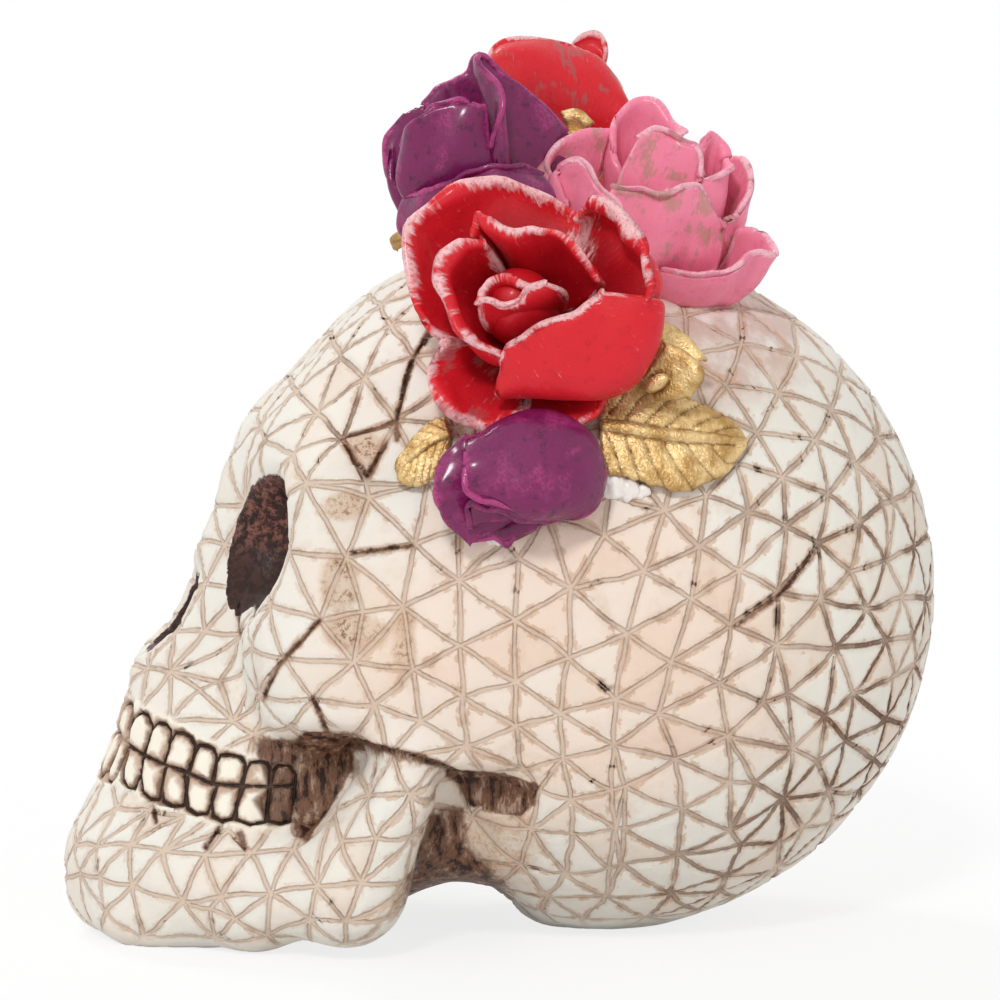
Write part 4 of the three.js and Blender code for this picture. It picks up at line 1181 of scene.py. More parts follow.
class Finish(Enum):
    """The finishes of the sugar skull by their material names."""

    IVORY = "ivory_paint"
    RESIN = "bare_resin"
    RED = "red_paint"
    PURPLE = "purple_paint"
    PINK = "pink_paint"
    GOLD = "gold_paint"
    GLUE = "white_glue"

    def paint(self) -> SkullPaint | PetalPaint | GoldPaint | ResinPaint:
        """Give the finish's recipe.

        Returns:
            The recipe, which builds the material.
        """
        recipes = {
            Finish.IVORY: SkullPaint(),
            Finish.RESIN: ResinPaint("bare_resin", paint(228, 222, 210), paint(214, 204, 188), 0.55),
            Finish.RED: PetalPaint(
                "red_paint", paint(214, 32, 44), paint(160, 12, 24), paint(248, 206, 208), paint(160, 92, 92)
            ),
            Finish.PURPLE: PetalPaint(
                "purple_paint", paint(120, 24, 84), paint(62, 8, 46), paint(190, 66, 132), paint(100, 40, 60),
                rim_strength=0.8, dust_strength=0.3, glints=0.5, coat=0.45, roughness=0.34, mottle=0.7,
            ),
            Finish.PINK: PetalPaint(
                "pink_paint", paint(244, 138, 166), paint(206, 84, 118), paint(252, 204, 214),
                paint(186, 142, 126), rim_strength=0.75, dust_strength=0.95,
            ),
            Finish.GOLD: GoldPaint(),
            Finish.GLUE: ResinPaint("white_glue", paint(244, 240, 234), paint(226, 216, 208), 0.3),
        }
        return recipes[self]


class Finishes:
    """Keeps one material for each finish."""

    def __init__(self) -> None:
        """Start with none made."""
        self.made: dict[Finish, bpy.types.Material] = {}

    def material(self, finish: Finish) -> bpy.types.Material:
        """Give the finish's material, made at its first use."""
        if finish not in self.made:
            self.made[finish] = finish.paint().material()
        return self.made[finish]


@dataclass
class Bench:
    """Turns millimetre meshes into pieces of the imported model's frame."""

    offset: Array
    finishes: Finishes

    def piece(
        self,
        name: str,
        points: Array,
        faces: Array | Faces,
        finish: Finish,
        values: Stored,
        node: str,
        corner_values: Stored | None = None,
    ) -> bpy.types.Object:
        """Make a piece.

        Args:
            name: The piece's name.
            points: Its vertices in millimetres of the skull's frame, of which it keeps those that a face uses.
            faces: Its faces' vertex numbers.
            finish: Its finish.
            values: The numbers that it stores at its vertices.
            node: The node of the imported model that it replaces.
            corner_values: The numbers that it stores at the corners of its faces.

        Returns:
            The piece.
        """
        mesh = bpy.data.meshes.new(name)
        used = np.unique(np.concatenate(faces))
        number_of = np.zeros(len(points), int)
        number_of[used] = np.arange(len(used))
        rows = [number_of[face].tolist() for face in faces]
        mesh.from_pydata(((points[used] + self.offset) / METRE).tolist(), [], rows)
        for key, numbers in values.items():
            mesh.attributes.new(key, "FLOAT", "POINT").data.foreach_set("value", numbers[used].astype(np.float32))
        for key, numbers in (corner_values or {}).items():
            mesh.attributes.new(key, "FLOAT", "CORNER").data.foreach_set("value", numbers.astype(np.float32))
        mesh.shade_smooth()
        made = bpy.data.objects.new(name, mesh)
        bpy.context.scene.collection.objects.link(made)
        made.data.materials.append(self.finishes.material(finish))
        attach(made, BODY)
        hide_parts(node)
        LOG.info("%s: %d faces", name, len(rows))
        return made


@dataclass
class Skull:
    """The skull casting with its carved net, teeth, sockets and nose."""

    bench: Bench
    form: SkullForm = field(default_factory=SkullForm)
    low: Triple = (-56.0, -82.0, -6.0)
    high: Triple = (56.0, 82.0, 128.0)
    cell: float = 1.15
    groove_depth: float = 0.42
    groove_half: float = 0.62
    tooth_depth: float = 0.8
    tooth_half: float = 0.55
    enamel_height: float = 0.5
    cheek_step: float = 1.4
    broad_dents: float = 0.16
    fine_dents: float = 0.05
    socket_margin: float = 1.5
    nick_margin: float = 1.3
    carving_reach: float = 9.0
    molar_stain: float = 0.72
    strip_shadow: float = 0.75
    edge_shade: float = 0.8
    under_shade: float = 0.12
    tone_seed: int = 4

    def build(self) -> bpy.types.Object:
        """Build the skull.

        Returns:
            The piece.
        """
        points, quads = surface_net(self.form, np.array(self.low), np.array(self.high), self.cell)
        points, faces = self.refined(self.form.settle(points), quads)
        net = TriangleNet(self.form)
        points, distances = self.laid_on_lines(net, points)
        faces = self.split_along(faces, distances == 0.0)
        normals = self.form.normals(points)
        values = self.carvings(net, points, normals)
        sides = self.side_values(net, points, faces)
        points = points + normals * self.relief(points, distances, values)[:, None]
        points[:, 2] = np.maximum(points[:, 2], 0.0)
        return self.bench.piece("skull_body", points, faces, Finish.IVORY, values, "skull_casting", sides)

    def refined(self, points: Array, quads: Array) -> tuple[Array, Faces]:
        """Split the faces of the teeth and the sockets.

        Args:
            points: The vertices.
            quads: The quads' vertex numbers.

        Returns:
            The vertices on the surface, and the faces' vertex numbers.
        """
        mesh = bpy.data.meshes.new("refining")
        mesh.from_pydata(points.tolist(), [], quads.tolist())
        work = bmesh.new()
        work.from_mesh(mesh)
        bpy.data.meshes.remove(mesh)
        teeth = self.tooth_region(points) > 0.05
        nicked = (self.stroke_distance(points) < self.nick_margin) & ~teeth
        for fine, cuts in ((teeth, 3), (nicked, 2), (self.socket_edge(points) & ~teeth & ~nicked, 1)):
            edges = [e for e in work.edges if all(v.index < len(fine) and fine[v.index] for v in e.verts)]
            bmesh.ops.subdivide_edges(work, edges=edges, cuts=cuts, use_grid_fill=True)
            work.verts.index_update()
            work.verts.ensure_lookup_table()
        spots, faces = mesh_arrays(work)
        return self.form.settle(spots, 1), faces

    def laid_on_lines(self, net: TriangleNet, points: Array) -> tuple[Array, Array]:
        """Move the vertices beside a groove line onto it, so that the line is sharp.

        Args:
            net: The grooves.
            points: The vertices.

        Returns:
            The vertices, and how far they are from the lines.
        """
        triangles = net.home(points)
        depths = net.depths(points, triangles)
        row, side = np.arange(len(points)), np.abs(depths).argmin(1)
        distances = depths[row, side]
        free = (self.tooth_region(points) < 0.02) & ~self.socket_edge(points)
        near = (np.abs(distances) < self.cell / 2) & free
        feet = points - net.planes[triangles, side] * distances[:, None]
        return np.where(near[:, None], feet, points), np.where(near, 0.0, np.abs(distances))

    def side_values(self, net: TriangleNet, points: Array, faces: Faces) -> Stored:
        """Work out how far faces' corners are from the sides of the net's triangles, and each triangle's tone.

        Args:
            net: The grooves.
            points: The vertices.
            faces: The faces' vertex numbers.

        Returns:
            The numbers to store at the faces' corners.
        """
        sizes = np.array([len(face) for face in faces])
        corners = np.concatenate([np.array(face) for face in faces])
        totals = np.add.reduceat(points[corners], np.cumsum(sizes) - sizes)
        triangles = net.home(totals / sizes[:, None])
        depths = net.depths(points[corners], np.repeat(triangles, sizes))
        tones = np.random.default_rng(self.tone_seed).random(len(net.triangles))
        values = {f"side_{number}": depths[:, number] for number in range(3)}
        return values | {"tone": np.repeat(tones[triangles], sizes)}

    def split_along(self, faces: Faces, on_line: Array) -> Faces:
        """Split each quad that a groove line crosses from corner to corner.

        Args:
            faces: The faces' vertex numbers.
            on_line: Whether each vertex is on a line.

        Returns:
            The faces' vertex numbers.
        """
        split = []
        for face in faces:
            marks = [on_line[corner] for corner in face]
            if len(face) == 4 and sum(marks) == 2 and marks[0] == marks[2]:
                a, b, c, d = face if marks[0] else face[1:] + face[:1]
                split += [[a, b, c], [a, c, d]]
            else:
                split.append(face)
        return split

    def mirrored(self, lump: Lump | Bar, points: Array) -> Array:
        """The distance to a lump that is there on both sides."""
        return lump.distance(folded(points))

    def seen(self, points: Array) -> Array:
        """The pixels of places, or of the mirrored places for those on the far side."""
        return PHOTO.pixels(folded(points))

    def socket_edge(self, points: Array) -> Array:
        """Whether places are in a socket or on its edge."""
        return self.mirrored(self.form.socket, points) < self.socket_margin

    def stroke_distance(self, points: Array) -> Array:
        """Find how far places are from the darkest lines, up to the carvings' reach.

        Args:
            points: The places.

        Returns:
            The distances in millimetres.
        """
        lines = []
        for line in DARK_LINES:
            corners = np.array(line, float)
            shares = np.arange(0, len(corners) - 0.99, 0.25)
            across = np.interp(shares, np.arange(len(corners)), corners[:, 0])
            down = np.interp(shares, np.arange(len(corners)), corners[:, 1])
            lines.append(self.form.seen_at(np.stack([across, down], 1)))
        return np.minimum(polyline_distance(folded(points), lines), self.carving_reach)

    def tooth_region(self, points: Array) -> Array:
        """Find how much places belong to the rows of teeth.

        Args:
            points: The places.

        Returns:
            The shares from 0 to 1.
        """
        spots = self.seen(points)
        tops, bottoms = np.array(TOOTH_TOPS, float), np.array(TOOTH_BOTTOMS, float)
        top = np.interp(spots[:, 0], tops[:, 0], tops[:, 1])
        bottom = np.interp(spots[:, 0], bottoms[:, 0], bottoms[:, 1])
        rows = smooth_step(spots[:, 1] - top, -3.0, 2.0) * smooth_step(bottom - spots[:, 1], -3.0, 2.0)
        ahead = smooth_step(points[:, 1], -0.36 * HALF_LENGTH, -0.4 * HALF_LENGTH)
        rows *= ahead * smooth_step(spots[:, 0], 302.0, 296.0)
        high = points[:, 2] / HEIGHT
        front = smooth_step(high, 0.222, 0.229) * smooth_step(high, 0.35, 0.342)
        front *= (np.abs(points[:, 0]) < 0.16 * HALF_WIDTH) & (points[:, 1] < -0.7 * HALF_LENGTH)
        return np.maximum(rows, front)

    def stains_and_shade(self, points: Array, normals: Array) -> Stored:
        """Work out where the brown stain stays and where shade is painted.

        Args:
            points: The vertices.
            normals: Their outward directions.

        Returns:
            The stain of deep places with painted shade below the cheek, and the lighter patches with painted
            shade.
        """
        spots = self.seen(points)
        under_cheek = self.mirrored(self.form.under_cheek, points)
        behind_jaw = self.mirrored(self.form.behind_jaw, points)
        deep = smooth_step(inside(spots, BEHIND_TEETH), -5.0, 3.0) * smooth_step(under_cheek, 2.5, 0.5)
        molars = smooth_step(inside(spots, BACK_TEETH), -4.0, 5.0) * (points[:, 1] < -20.0) * self.molar_stain
        slit = smooth_step(inside(spots, BEHIND_JAW), -3.0, 3.0) * smooth_step(behind_jaw, 5.0, 2.0)
        low = points[:, 2] < 0.3 * HEIGHT
        # Painted shade in the hollow beside the jaw
        beside = smooth_step(inside(spots, UNDER_JAW), -12.0, 11.0) * self.edge_shade * low
        # Painted shadow in a strip below the cheek's overhanging lower edge
        strip = self.below_cheek(points)
        strip = smooth_step(strip, -0.5, 2.0) * smooth_step(strip, 16.0, 3.0)
        strip *= self.cheek_range(points) * self.strip_shadow
        # Painted shade on the ledge under the cheek where it faces down
        ledge = smooth_step(under_cheek, 2.0, 0.0) * smooth_step(normals[:, 2], -0.3, -0.8)
        ledge *= smooth_step(points[:, 2], 0.26 * HEIGHT, 0.3 * HEIGHT) * self.edge_shade
        # Painted shade on the surfaces that face down
        under = smooth_step(normals[:, 2], -0.35, -0.75) * self.under_shade
        shades = np.max([under, *(patch.share(spots) for patch in STAINED_AND_SHADED_PATCHES)], 0)
        shades *= np.abs(points[:, 0]) > 12.0
        return {"brown": np.max([deep, slit, ledge, beside, molars, strip], 0), "shade": shades}

    def below_cheek(self, points: Array) -> Array:
        """How many pixels places are below the lower edge of the cheek."""
        spots, edge = self.seen(points), np.array(CHEEK_EDGE, float)
        return spots[:, 1] - np.interp(spots[:, 0], edge[:, 0], edge[:, 1])

    def cheek_range(self, points: Array) -> Array:
        """Find whether places are where the cheek's lower edge is free.

        Args:
            points: The places.

        Returns:
            The shares from 0 to 1.
        """
        across = self.seen(points)[:, 0]
        share = smooth_step(across, 338.0, 352.0) * smooth_step(across, 470.0, 455.0)
        return share * (np.abs(points[:, 0]) > 0.5 * HALF_WIDTH)

    def carvings(self, net: TriangleNet, points: Array, normals: Array) -> Stored:
        """Work out what is carved and stained where.

        Args:
            net: The grooves.
            points: The vertices.
            normals: Their outward directions.

        Returns:
            The numbers to store at the vertices.
        """
        teeth = self.tooth_region(points)
        socket = smooth_step(self.mirrored(self.form.socket, points), 2.4, -0.4)
        nose = smooth_step(self.mirrored(self.form.nose, points), 1.4, 0.0)
        stains_and_shade = self.stains_and_shade(points, normals)
        spots = self.seen(points)
        slot = smooth_step(inside(spots, SOCKET), -2.5, 2.5) * (self.mirrored(self.form.socket, points) < 4.5)
        socket = np.maximum(socket, slot * (normals[:, 1] < 0.2))
        flat_under = smooth_step(normals[:, 2], -0.86, -0.96)
        outward = np.sum(normals * net.directions(points), 1)
        net_on = smooth_step(outward, -0.25, -0.05) * (1 - smooth_step(teeth, 0.0, 0.5))
        net_on *= (1 - np.minimum(socket * 1.6, 1)) * (1 - nose) * (1 - smooth_step(stains_and_shade["brown"], 0.3, 0.7))
        net_on *= (1 - flat_under) * smooth_step(points[:, 2], 1.0, 3.0)
        outlines = [self.form.seen_at(line) for line in TOOTH_OUTLINES]
        outlines += [self.form.in_front(line) for line in FRONT_TEETH]
        outlines += [line * [-1, 1, 1] for line in outlines]
        near = teeth > 0.0
        cut = np.full(len(points), self.carving_reach)
        cut[near] = polyline_distance(points[near], outlines)
        rear = smooth_step(points[:, 1], -5.0, 60.0) * smooth_step(points[:, 2], 115.0, 60.0)
        pale = PALE_FLANK.share(spots)
        from_crown = np.linalg.norm((points - [14.0, 28.0, 110.0]) / [36.0, 24.0, 18.0], axis=1)
        return stains_and_shade | {
            "net_on": net_on,
            "cut": cut,
            "stroke": self.stroke_distance(points),
            "teeth": teeth,
            "socket": np.maximum(socket, nose),
            "mottle": smooth_step(points[:, 2], 0.545 * HEIGHT, 0.6 * HEIGHT),
            "tinge": pale,
            "dark": np.maximum(rear * (1 - 0.6 * pale), DARK_BROW.share(spots)),
            "wash": smooth_step(from_crown, 1.25, 0.8),
            "rubbed": 0.4 + 0.6 * smooth_step(points[:, 1], -48.0, -12.0),
        }

    def relief(self, points: Array, distances: Array, values: Stored) -> Array:
        """Work out how far each vertex moves outward for what is carved there.

        Args:
            points: The vertices.
            distances: How far they are from the net's lines.
            values: The numbers that the mesh stores at them.

        Returns:
            The ways in millimetres.
        """
        groove = smooth_step(distances, self.groove_half, 0.1) * values["net_on"] * self.groove_depth
        groove = np.maximum(groove, smooth_step(values["stroke"], self.groove_half, 0.1) * self.groove_depth)
        cut = smooth_step(values["cut"], self.tooth_half, 0.1) * self.tooth_depth
        enamel = smooth_step(values["cut"], 0.2, 1.6) * values["teeth"] * self.enamel_height
        lower = self.below_cheek(points)
        step = smooth_step(lower, -1.5, 2.0) * smooth_step(lower, 46.0, 4.0) * self.cheek_range(points)
        uneven = ripple(points, 16.0, 21) * self.broad_dents + ripple(points, 5.0, 22) * self.fine_dents
        return uneven - groove - cut + enamel - step * self.cheek_step


@dataclass(frozen=True)
class Petal:
    """A petal by its rim's pixels, and in hundredths of the half width how far they stand out and curl."""

    rim: Pixels
    toward: Sequence[float]
    curls: Sequence[float]
    belly: tuple[float, float] = (1.2, 0.4)
    belly_line: Pixels = ()
    belly_toward: Sequence[float] = ()
    brush: float = 2.2
    stain: float = 0.0


@dataclass(frozen=True)
class Flower:
    """A flower by its root, its heart and its petals."""

    name: str
    finish: Finish
    root: tuple[float, float]
    root_toward: float
    heart: tuple[float, float]
    heart_toward: float
    core: float
    petals: tuple[Petal, ...]


RED_FRONT_ROSE = Flower(
    "rose_red_front", Finish.RED, (535, 326), 0.74, (505, 290), 1.03, 0.15,
    (
        Petal(
            ((456, 350), (418, 318), (404, 262), (410, 222), (452, 190), (500, 176), (548, 194), (590, 220)),
            (84, 86, 84, 80, 76, 72, 70, 70), (0, 0, 2, 3, 3, 2, 0, 0), (0.9, 0.3), brush=4.5,
        ),
        Petal(
            ((520, 414), (545, 433), (574, 431), (598, 418), (612, 388)), (93, 94, 94, 94, 93), (0,),
            (1, 0.3),
        ),
        Petal(
            ((444, 340), (428, 366), (431, 390), (450, 416), (480, 430), (528, 420)), (88, 92, 94, 96, 96, 96),
            (0, 2, 2, 2, 2, 0), (0.8, 0.4), brush=3.6, stain=1.0,
        ),
        Petal(
            ((576, 218), (596, 203), (618, 226), (638, 262), (646, 290), (641, 318)),
            (86, 90, 97, 102, 103, 102), (0, 3, 6, 7, 6, 3), (1.2, 0.4), brush=9.0,
        ),
        Petal(
            ((497, 388), (505, 362), (516, 343), (540, 331), (568, 320), (594, 306), (608, 292)),
            (99, 104, 107, 109, 109, 108, 105), (0, 0, 2, 2, 2, 0, 0), (1.2, 0.4),
            ((500, 392), (522, 393), (556, 394), (598, 394), (634, 378), (651, 344), (656, 304)),
            (95, 98, 99, 98, 97, 98, 99),
        ),
        Petal(
            ((484, 238), (459, 243), (441, 262), (439, 280), (449, 301), (460, 330), (477, 347), (506, 363)),
            (98, 102, 104, 104, 105, 105, 104, 101), (0, 3, 3, 3, 3, 3, 2, 0), brush=3.6,
        ),
        Petal(
            ((470, 232), (477, 210), (491, 225), (507, 233), (532, 227), (560, 230), (581, 246), (604, 283)),
            (98, 96, 99, 101, 101, 101, 101, 98), (0, 0, 3, 3, 2, 0, 0, 0), (1.1, 0.4),
        ),
        Petal(
            ((474, 300), (480, 286), (492, 275), (508, 273), (524, 279), (541, 284)),
            (105, 106, 106, 106, 106, 105), (0,), (2, 0.5),
        ),
        Petal(
            ((473, 307), (485, 303), (503, 306), (520, 300), (534, 287), (550, 280)),
            (106, 108, 108, 108, 108, 105), (0,), (1.8, 0.5),
        ),
    ),
)

PURPLE_TOP_ROSE = Flower(
    "rose_purple_top", Finish.PURPLE, (480, 236), 0.3, (466, 104), 0.34, 0.17,
    (
        Petal(
            ((404, 199), (393, 182), (388, 158), (390, 137), (404, 114), (421, 106)), (28, 28, 27, 26, 26, 26),
            (0, 3, 3, 3, 2, 0), (1.1, 0.3),
        ),
        Petal(
            ((420, 106), (441, 84), (467, 68), (480, 52), (520, 90)), (25, 22, 20, 20, 18), (0, 1, 1, 0, 0),
            (1, 0.4),
        ),
        Petal(
            ((494, 154), (501, 112), (497, 84), (480, 54), (513, 76), (546, 105), (571, 134)),
            (52, 53, 50, 42, 38, 34, 28), (0, 3, 3, 1, 0, 0, 0), (1.3, 0.35),
        ),
        Petal(
            ((399, 152), (404, 132), (416, 117), (432, 105), (458, 101), (488, 103)), (42, 46, 50, 52, 53, 50),
            (0, 0, 1, 1, 0, 0), (1.4, 0.35),
        ),
        Petal(
            ((403, 204), (420, 197), (440, 193), (467, 182), (494, 170), (521, 173), (546, 179)),
            (42, 50, 56, 60, 62, 60, 54), (0, 2, 3, 3, 2, 2, 0), (1.5, -0.1),
        ),
    ),
)

PINK_ROSE = Flower(
    "rose_pink", Finish.PINK, (650, 282), 0.2, (680, 160), 0.32, 0.18,
    (
        Petal(
            ((624, 178), (610, 150), (609, 125), (620, 106), (638, 95), (654, 98), (668, 116), (684, 134)),
            (30, 28, 25, 22, 20, 20, 22, 25), (0, 1, 1, 1, 1, 0, 0, 0), (1, 0.4),
        ),
        Petal(
            ((706, 182), (704, 150), (706, 136), (714, 131), (725, 140), (729, 158)), (32, 28, 26, 22, 20, 20),
            (0, 1, 1, 1, 1, 0), (1.1, 0.4),
        ),
        Petal(
            ((727, 225), (742, 213), (754, 192), (755, 171), (748, 158), (733, 156)), (34, 33, 30, 27, 24, 20),
            (0, 0, 1, 1, 1, 0), (1.1, 0.3), stain=1.0,
        ),
        Petal(((702, 182), (720, 180), (733, 170), (730, 157)), (40, 39, 35, 28), (0, 2, 2, 0), (1.2, 0.3)),
        Petal(
            ((570, 230), (550, 185), (541, 167), (554, 144), (580, 131), (609, 127)), (35, 36, 36, 34, 30, 26),
            (0,), (1.3, 0.3), stain=1.0,
        ),
        Petal(
            ((566, 205), (555, 168), (574, 159), (582, 165), (592, 183), (613, 205), (634, 228)),
            (44, 44, 46, 47, 48, 50, 50), (0, 1, 1, 1, 1, 1, 0), (1.2, 0.3),
        ),
        Petal(
            ((634, 135), (655, 125), (672, 134), (697, 140), (703, 153), (700, 180)), (38, 40, 42, 42, 42, 42),
            (0, 0, 1, 1, 0, 0), (1.7, 0.3), stain=1.0,
        ),
        Petal(
            ((608, 188), (636, 190), (658, 197), (681, 187), (699, 185), (712, 207), (727, 232)),
            (48, 53, 55, 55, 52, 48, 42), (0, 2, 3, 2, 0, 0, 0), (1.3, 0.1), stain=1.0,
        ),
        Petal(
            ((660, 273), (699, 279), (734, 271), (758, 252), (779, 257), (768, 236), (740, 235)),
            (50, 55, 54, 50, 45, 38, 32), (0, 0, 1, 2, 1, 0, 0), (0.8, -0.3),
        ),
    ),
)

RED_BACK_ROSE = Flower(
    "rose_red_back", Finish.RED, (556, 240), -0.12, (545, 125), -0.5, 0.2,
    (
        Petal(
            ((470, 120), (487, 64), (497, 45), (522, 38), (560, 42), (598, 59), (621, 86), (624, 116)),
            (10, 12, 10, 6, 0, -2, 0, 4), (0, 0, 1, 1, 1, 0, 0, 0), (1.2, 0.4), stain=1.0,
        ),
        Petal(
            ((556, 66), (572, 44), (588, 39), (601, 46), (606, 74)), (-26, -26, -24, -22, -20), (0, 3, 4, 3, 0),
            (1, 0.4),
        ),
        Petal(((500, 60), (478, 86), (468, 138), (478, 186)), (-8, -22, -40, -50), (0, 3, 3, 0), (1, 0.4)),
        Petal(
            ((474, 180), (500, 222), (542, 236), (588, 222), (610, 186)), (-46, -62, -70, -64, -50),
            (0, 3, 4, 3, 0), (0.9, 0.3),
        ),
        Petal(((614, 190), (624, 150), (618, 104), (604, 74)), (-44, -36, -24, -14), (0, 3, 3, 0), (1, 0.4)),
        Petal(((518, 84), (500, 118), (510, 158), (546, 172)), (-40, -52, -64, -70), (0, 2, 2, 0), (1.3, 0.4)),
        Petal(((536, 172), (574, 164), (592, 130), (578, 88)), (-70, -66, -55, -40), (0, 2, 2, 0), (1.3, 0.4)),
        Petal(((528, 118), (530, 142), (552, 148), (564, 126)), (-56, -64, -66, -60), (0,), (1.6, 0.5)),
    ),
)

PURPLE_SIDE_BUD = Flower(
    "bud_purple_side", Finish.PURPLE, (598, 458), 0.98, (478, 492), 1.08, 0.16,
    (
        Petal(
            ((466, 432), (440, 459), (431, 484), (437, 519), (470, 548)), (102, 106, 108, 106, 98),
            (0, 2, 2, 2, 0), (1.2, 0.4),
        ),
        Petal(
            ((556, 519), (525, 514), (496, 501), (469, 492), (461, 468), (464, 442), (480, 430)),
            (104, 114, 120, 122, 120, 114, 106), (0, 0, 1, 1, 0, 0, 0), (1.6, 0.3),
        ),
        Petal(
            ((466, 532), (462, 508), (487, 510), (522, 520), (550, 523)), (104, 112, 114, 108, 102),
            (0,), (1.3, 0.4),
        ),
        Petal(((478, 538), (494, 541), (505, 547), (522, 532)), (100, 100, 98, 98), (0,), (0.8, 0.4)),
    ),
)

CURLED_LEAVES = (
    Flower(
        "leaf_curled_upper", Finish.GOLD, (648, 372), 0.82, (668, 340), 0.86, 0.03,
        (Petal(((650, 318), (672, 320), (694, 338), (708, 362)), (84, 82, 80, 80), (0,), (0.8, 0.5)),),
    ),
    Flower(
        "leaf_curled_lower", Finish.GOLD, (645, 390), 0.9, (668, 376), 0.94, 0.03,
        (Petal(((664, 340), (692, 352), (704, 378), (692, 402)), (90, 92, 92, 90), (0,), (0.8, 0.5)),),
    ),
    Flower(
        "leaf_between", Finish.GOLD, (572, 150), 0.2, (574, 132), 0.26, 0.05,
        (Petal(((560, 112), (576, 108), (596, 122)), (24, 24, 24), (0,), (0.8, 0.5)),),
    ),
    Flower(
        "leaf_far_side", Finish.GOLD, (430, 226), -0.06, (415, 236), -0.02, 0.07,
        (Petal(((400, 234), (388, 240), (392, 254)), (-6, -10, -14), (0,), (0.8, 0.5)),),
    ),
)


def spline(points: Array, shares: Array) -> Array:
    """Follow a smooth curve through points.

    Args:
        points: The points in order.
        shares: How far along the curve, from 0 to 1.

    Returns:
        The places on the curve.
    """
    ends = [2 * points[0] - points[1], 2 * points[-1] - points[-2]]
    wide = np.concatenate([ends[:1], points, ends[1:]])
    spot = np.clip(shares, 0, 1) * (len(points) - 1)
    first = np.minimum(spot.astype(int), len(points) - 2)
    way = (spot - first)[:, None]
    a, b, c, d = (wide[first + i] for i in range(4))
    steps = (b - a, c - b, d - c)
    spans = [np.maximum(np.linalg.norm(step, axis=1, keepdims=True) ** 0.5, 1e-4) for step in steps]
    leave = ((b - a) / spans[0] - (c - a) / (spans[0] + spans[1]) + (c - b) / spans[1]) * spans[1]
    reach = ((c - b) / spans[1] - (d - b) / (spans[1] + spans[2]) + (d - c) / spans[2]) * spans[1]
    square, cube = way**2, way**3
    return (
        b * (2 * cube - 3 * square + 1)
        + leave * (cube - 2 * square + way)
        + c * (3 * square - 2 * cube)
        + reach * (cube - square)
    )


def end_steps(count: int, dense: Sequence[float]) -> Array:
    """Give steps from 0 to 1 that lie closer together at both ends.

    Args:
        count: How many even steps there are.
        dense: The closer steps at the start, which are there at the end too.

    Returns:
        The steps in order.
    """
    low = np.array(dense)
    inner = np.linspace(0, 1, count + 1)[1:-1]
    inner = inner[(inner > low[-1]) & (inner < 1 - low[-1])]
    return np.unique(np.concatenate([[0.0], low, inner, 1 - low, [1.0]]))


@dataclass
class Sheet:
    """A closed sheet with rounded edges, made from a grid of points along its middle."""

    grid: Array
    thickness: float
    rim_share: float = 1.0

    def normals(self) -> Array:
        """The sheet's direction of thickness at each grid point."""
        return unit(np.cross(np.gradient(self.grid, axis=1), np.gradient(self.grid, axis=0)))

    def edge_distances(self) -> tuple[Array, Array]:
        """Measure the ways over the sheet to its edges.

        Returns:
            The way to the nearest edge, and the way to the rim or the sides only.
        """
        rows = np.linalg.norm(np.diff(self.grid, axis=0), axis=2)
        columns = np.linalg.norm(np.diff(self.grid, axis=1), axis=2)
        up = np.concatenate([np.zeros((1, rows.shape[1])), np.cumsum(rows, 0)])
        side = np.concatenate([np.zeros((columns.shape[0], 1)), np.cumsum(columns, 1)], 1)
        free = np.minimum.reduce([up[-1] - up, side, side[:, -1:] - side])
        return np.minimum(free, up), free

    def mesh(self) -> tuple[Array, Array, Stored]:
        """Close the sheet.

        Returns:
            The vertices, the quads, and the numbers to store at the vertices.
        """
        rows, columns = self.grid.shape[:2]
        taper = smooth_step(np.linspace(0, 1, rows), 0.35, 1.0) * (1 - self.rim_share)
        half = (self.thickness / 2 * (1 - taper))[:, None]
        edge, free = self.edge_distances()
        bulge = half * np.sqrt(np.maximum(1 - (1 - np.minimum(edge / half, 1)) ** 2, 0))
        normals = self.normals() * bulge[..., None]
        front, back = self.grid + normals, self.grid - normals
        points = np.concatenate([front.reshape(-1, 3), back.reshape(-1, 3)])
        number = np.arange(rows * columns).reshape(rows, columns)
        under = number + rows * columns
        border = np.ones((rows, columns), bool)
        border[1:-1, 1:-1] = False
        under[border] = number[border]
        top = np.stack([number[:-1, :-1], number[:-1, 1:], number[1:, 1:], number[1:, :-1]], -1).reshape(-1, 4)
        low = np.stack([under[:-1, :-1], under[1:, :-1], under[1:, 1:], under[:-1, 1:]], -1).reshape(-1, 4)
        side = np.concatenate([np.zeros(rows * columns), np.ones(rows * columns)])
        middle = self.grid[rows // 2]
        way = np.concatenate([[0.0], np.cumsum(np.linalg.norm(np.diff(middle, axis=0), axis=1))])
        climb = np.linalg.norm(np.diff(self.grid[:, columns // 2], axis=0), axis=1)
        height = np.concatenate([[0.0], np.cumsum(climb)])
        values = {
            "rim": np.tile(free.reshape(-1), 2),
            "inner": side,
            "across": np.tile(np.broadcast_to(way, (rows, columns)).reshape(-1), 2),
            "up": np.tile(np.broadcast_to(height[:, None], (rows, columns)).reshape(-1), 2),
        }
        return points, np.concatenate([top, low]), values


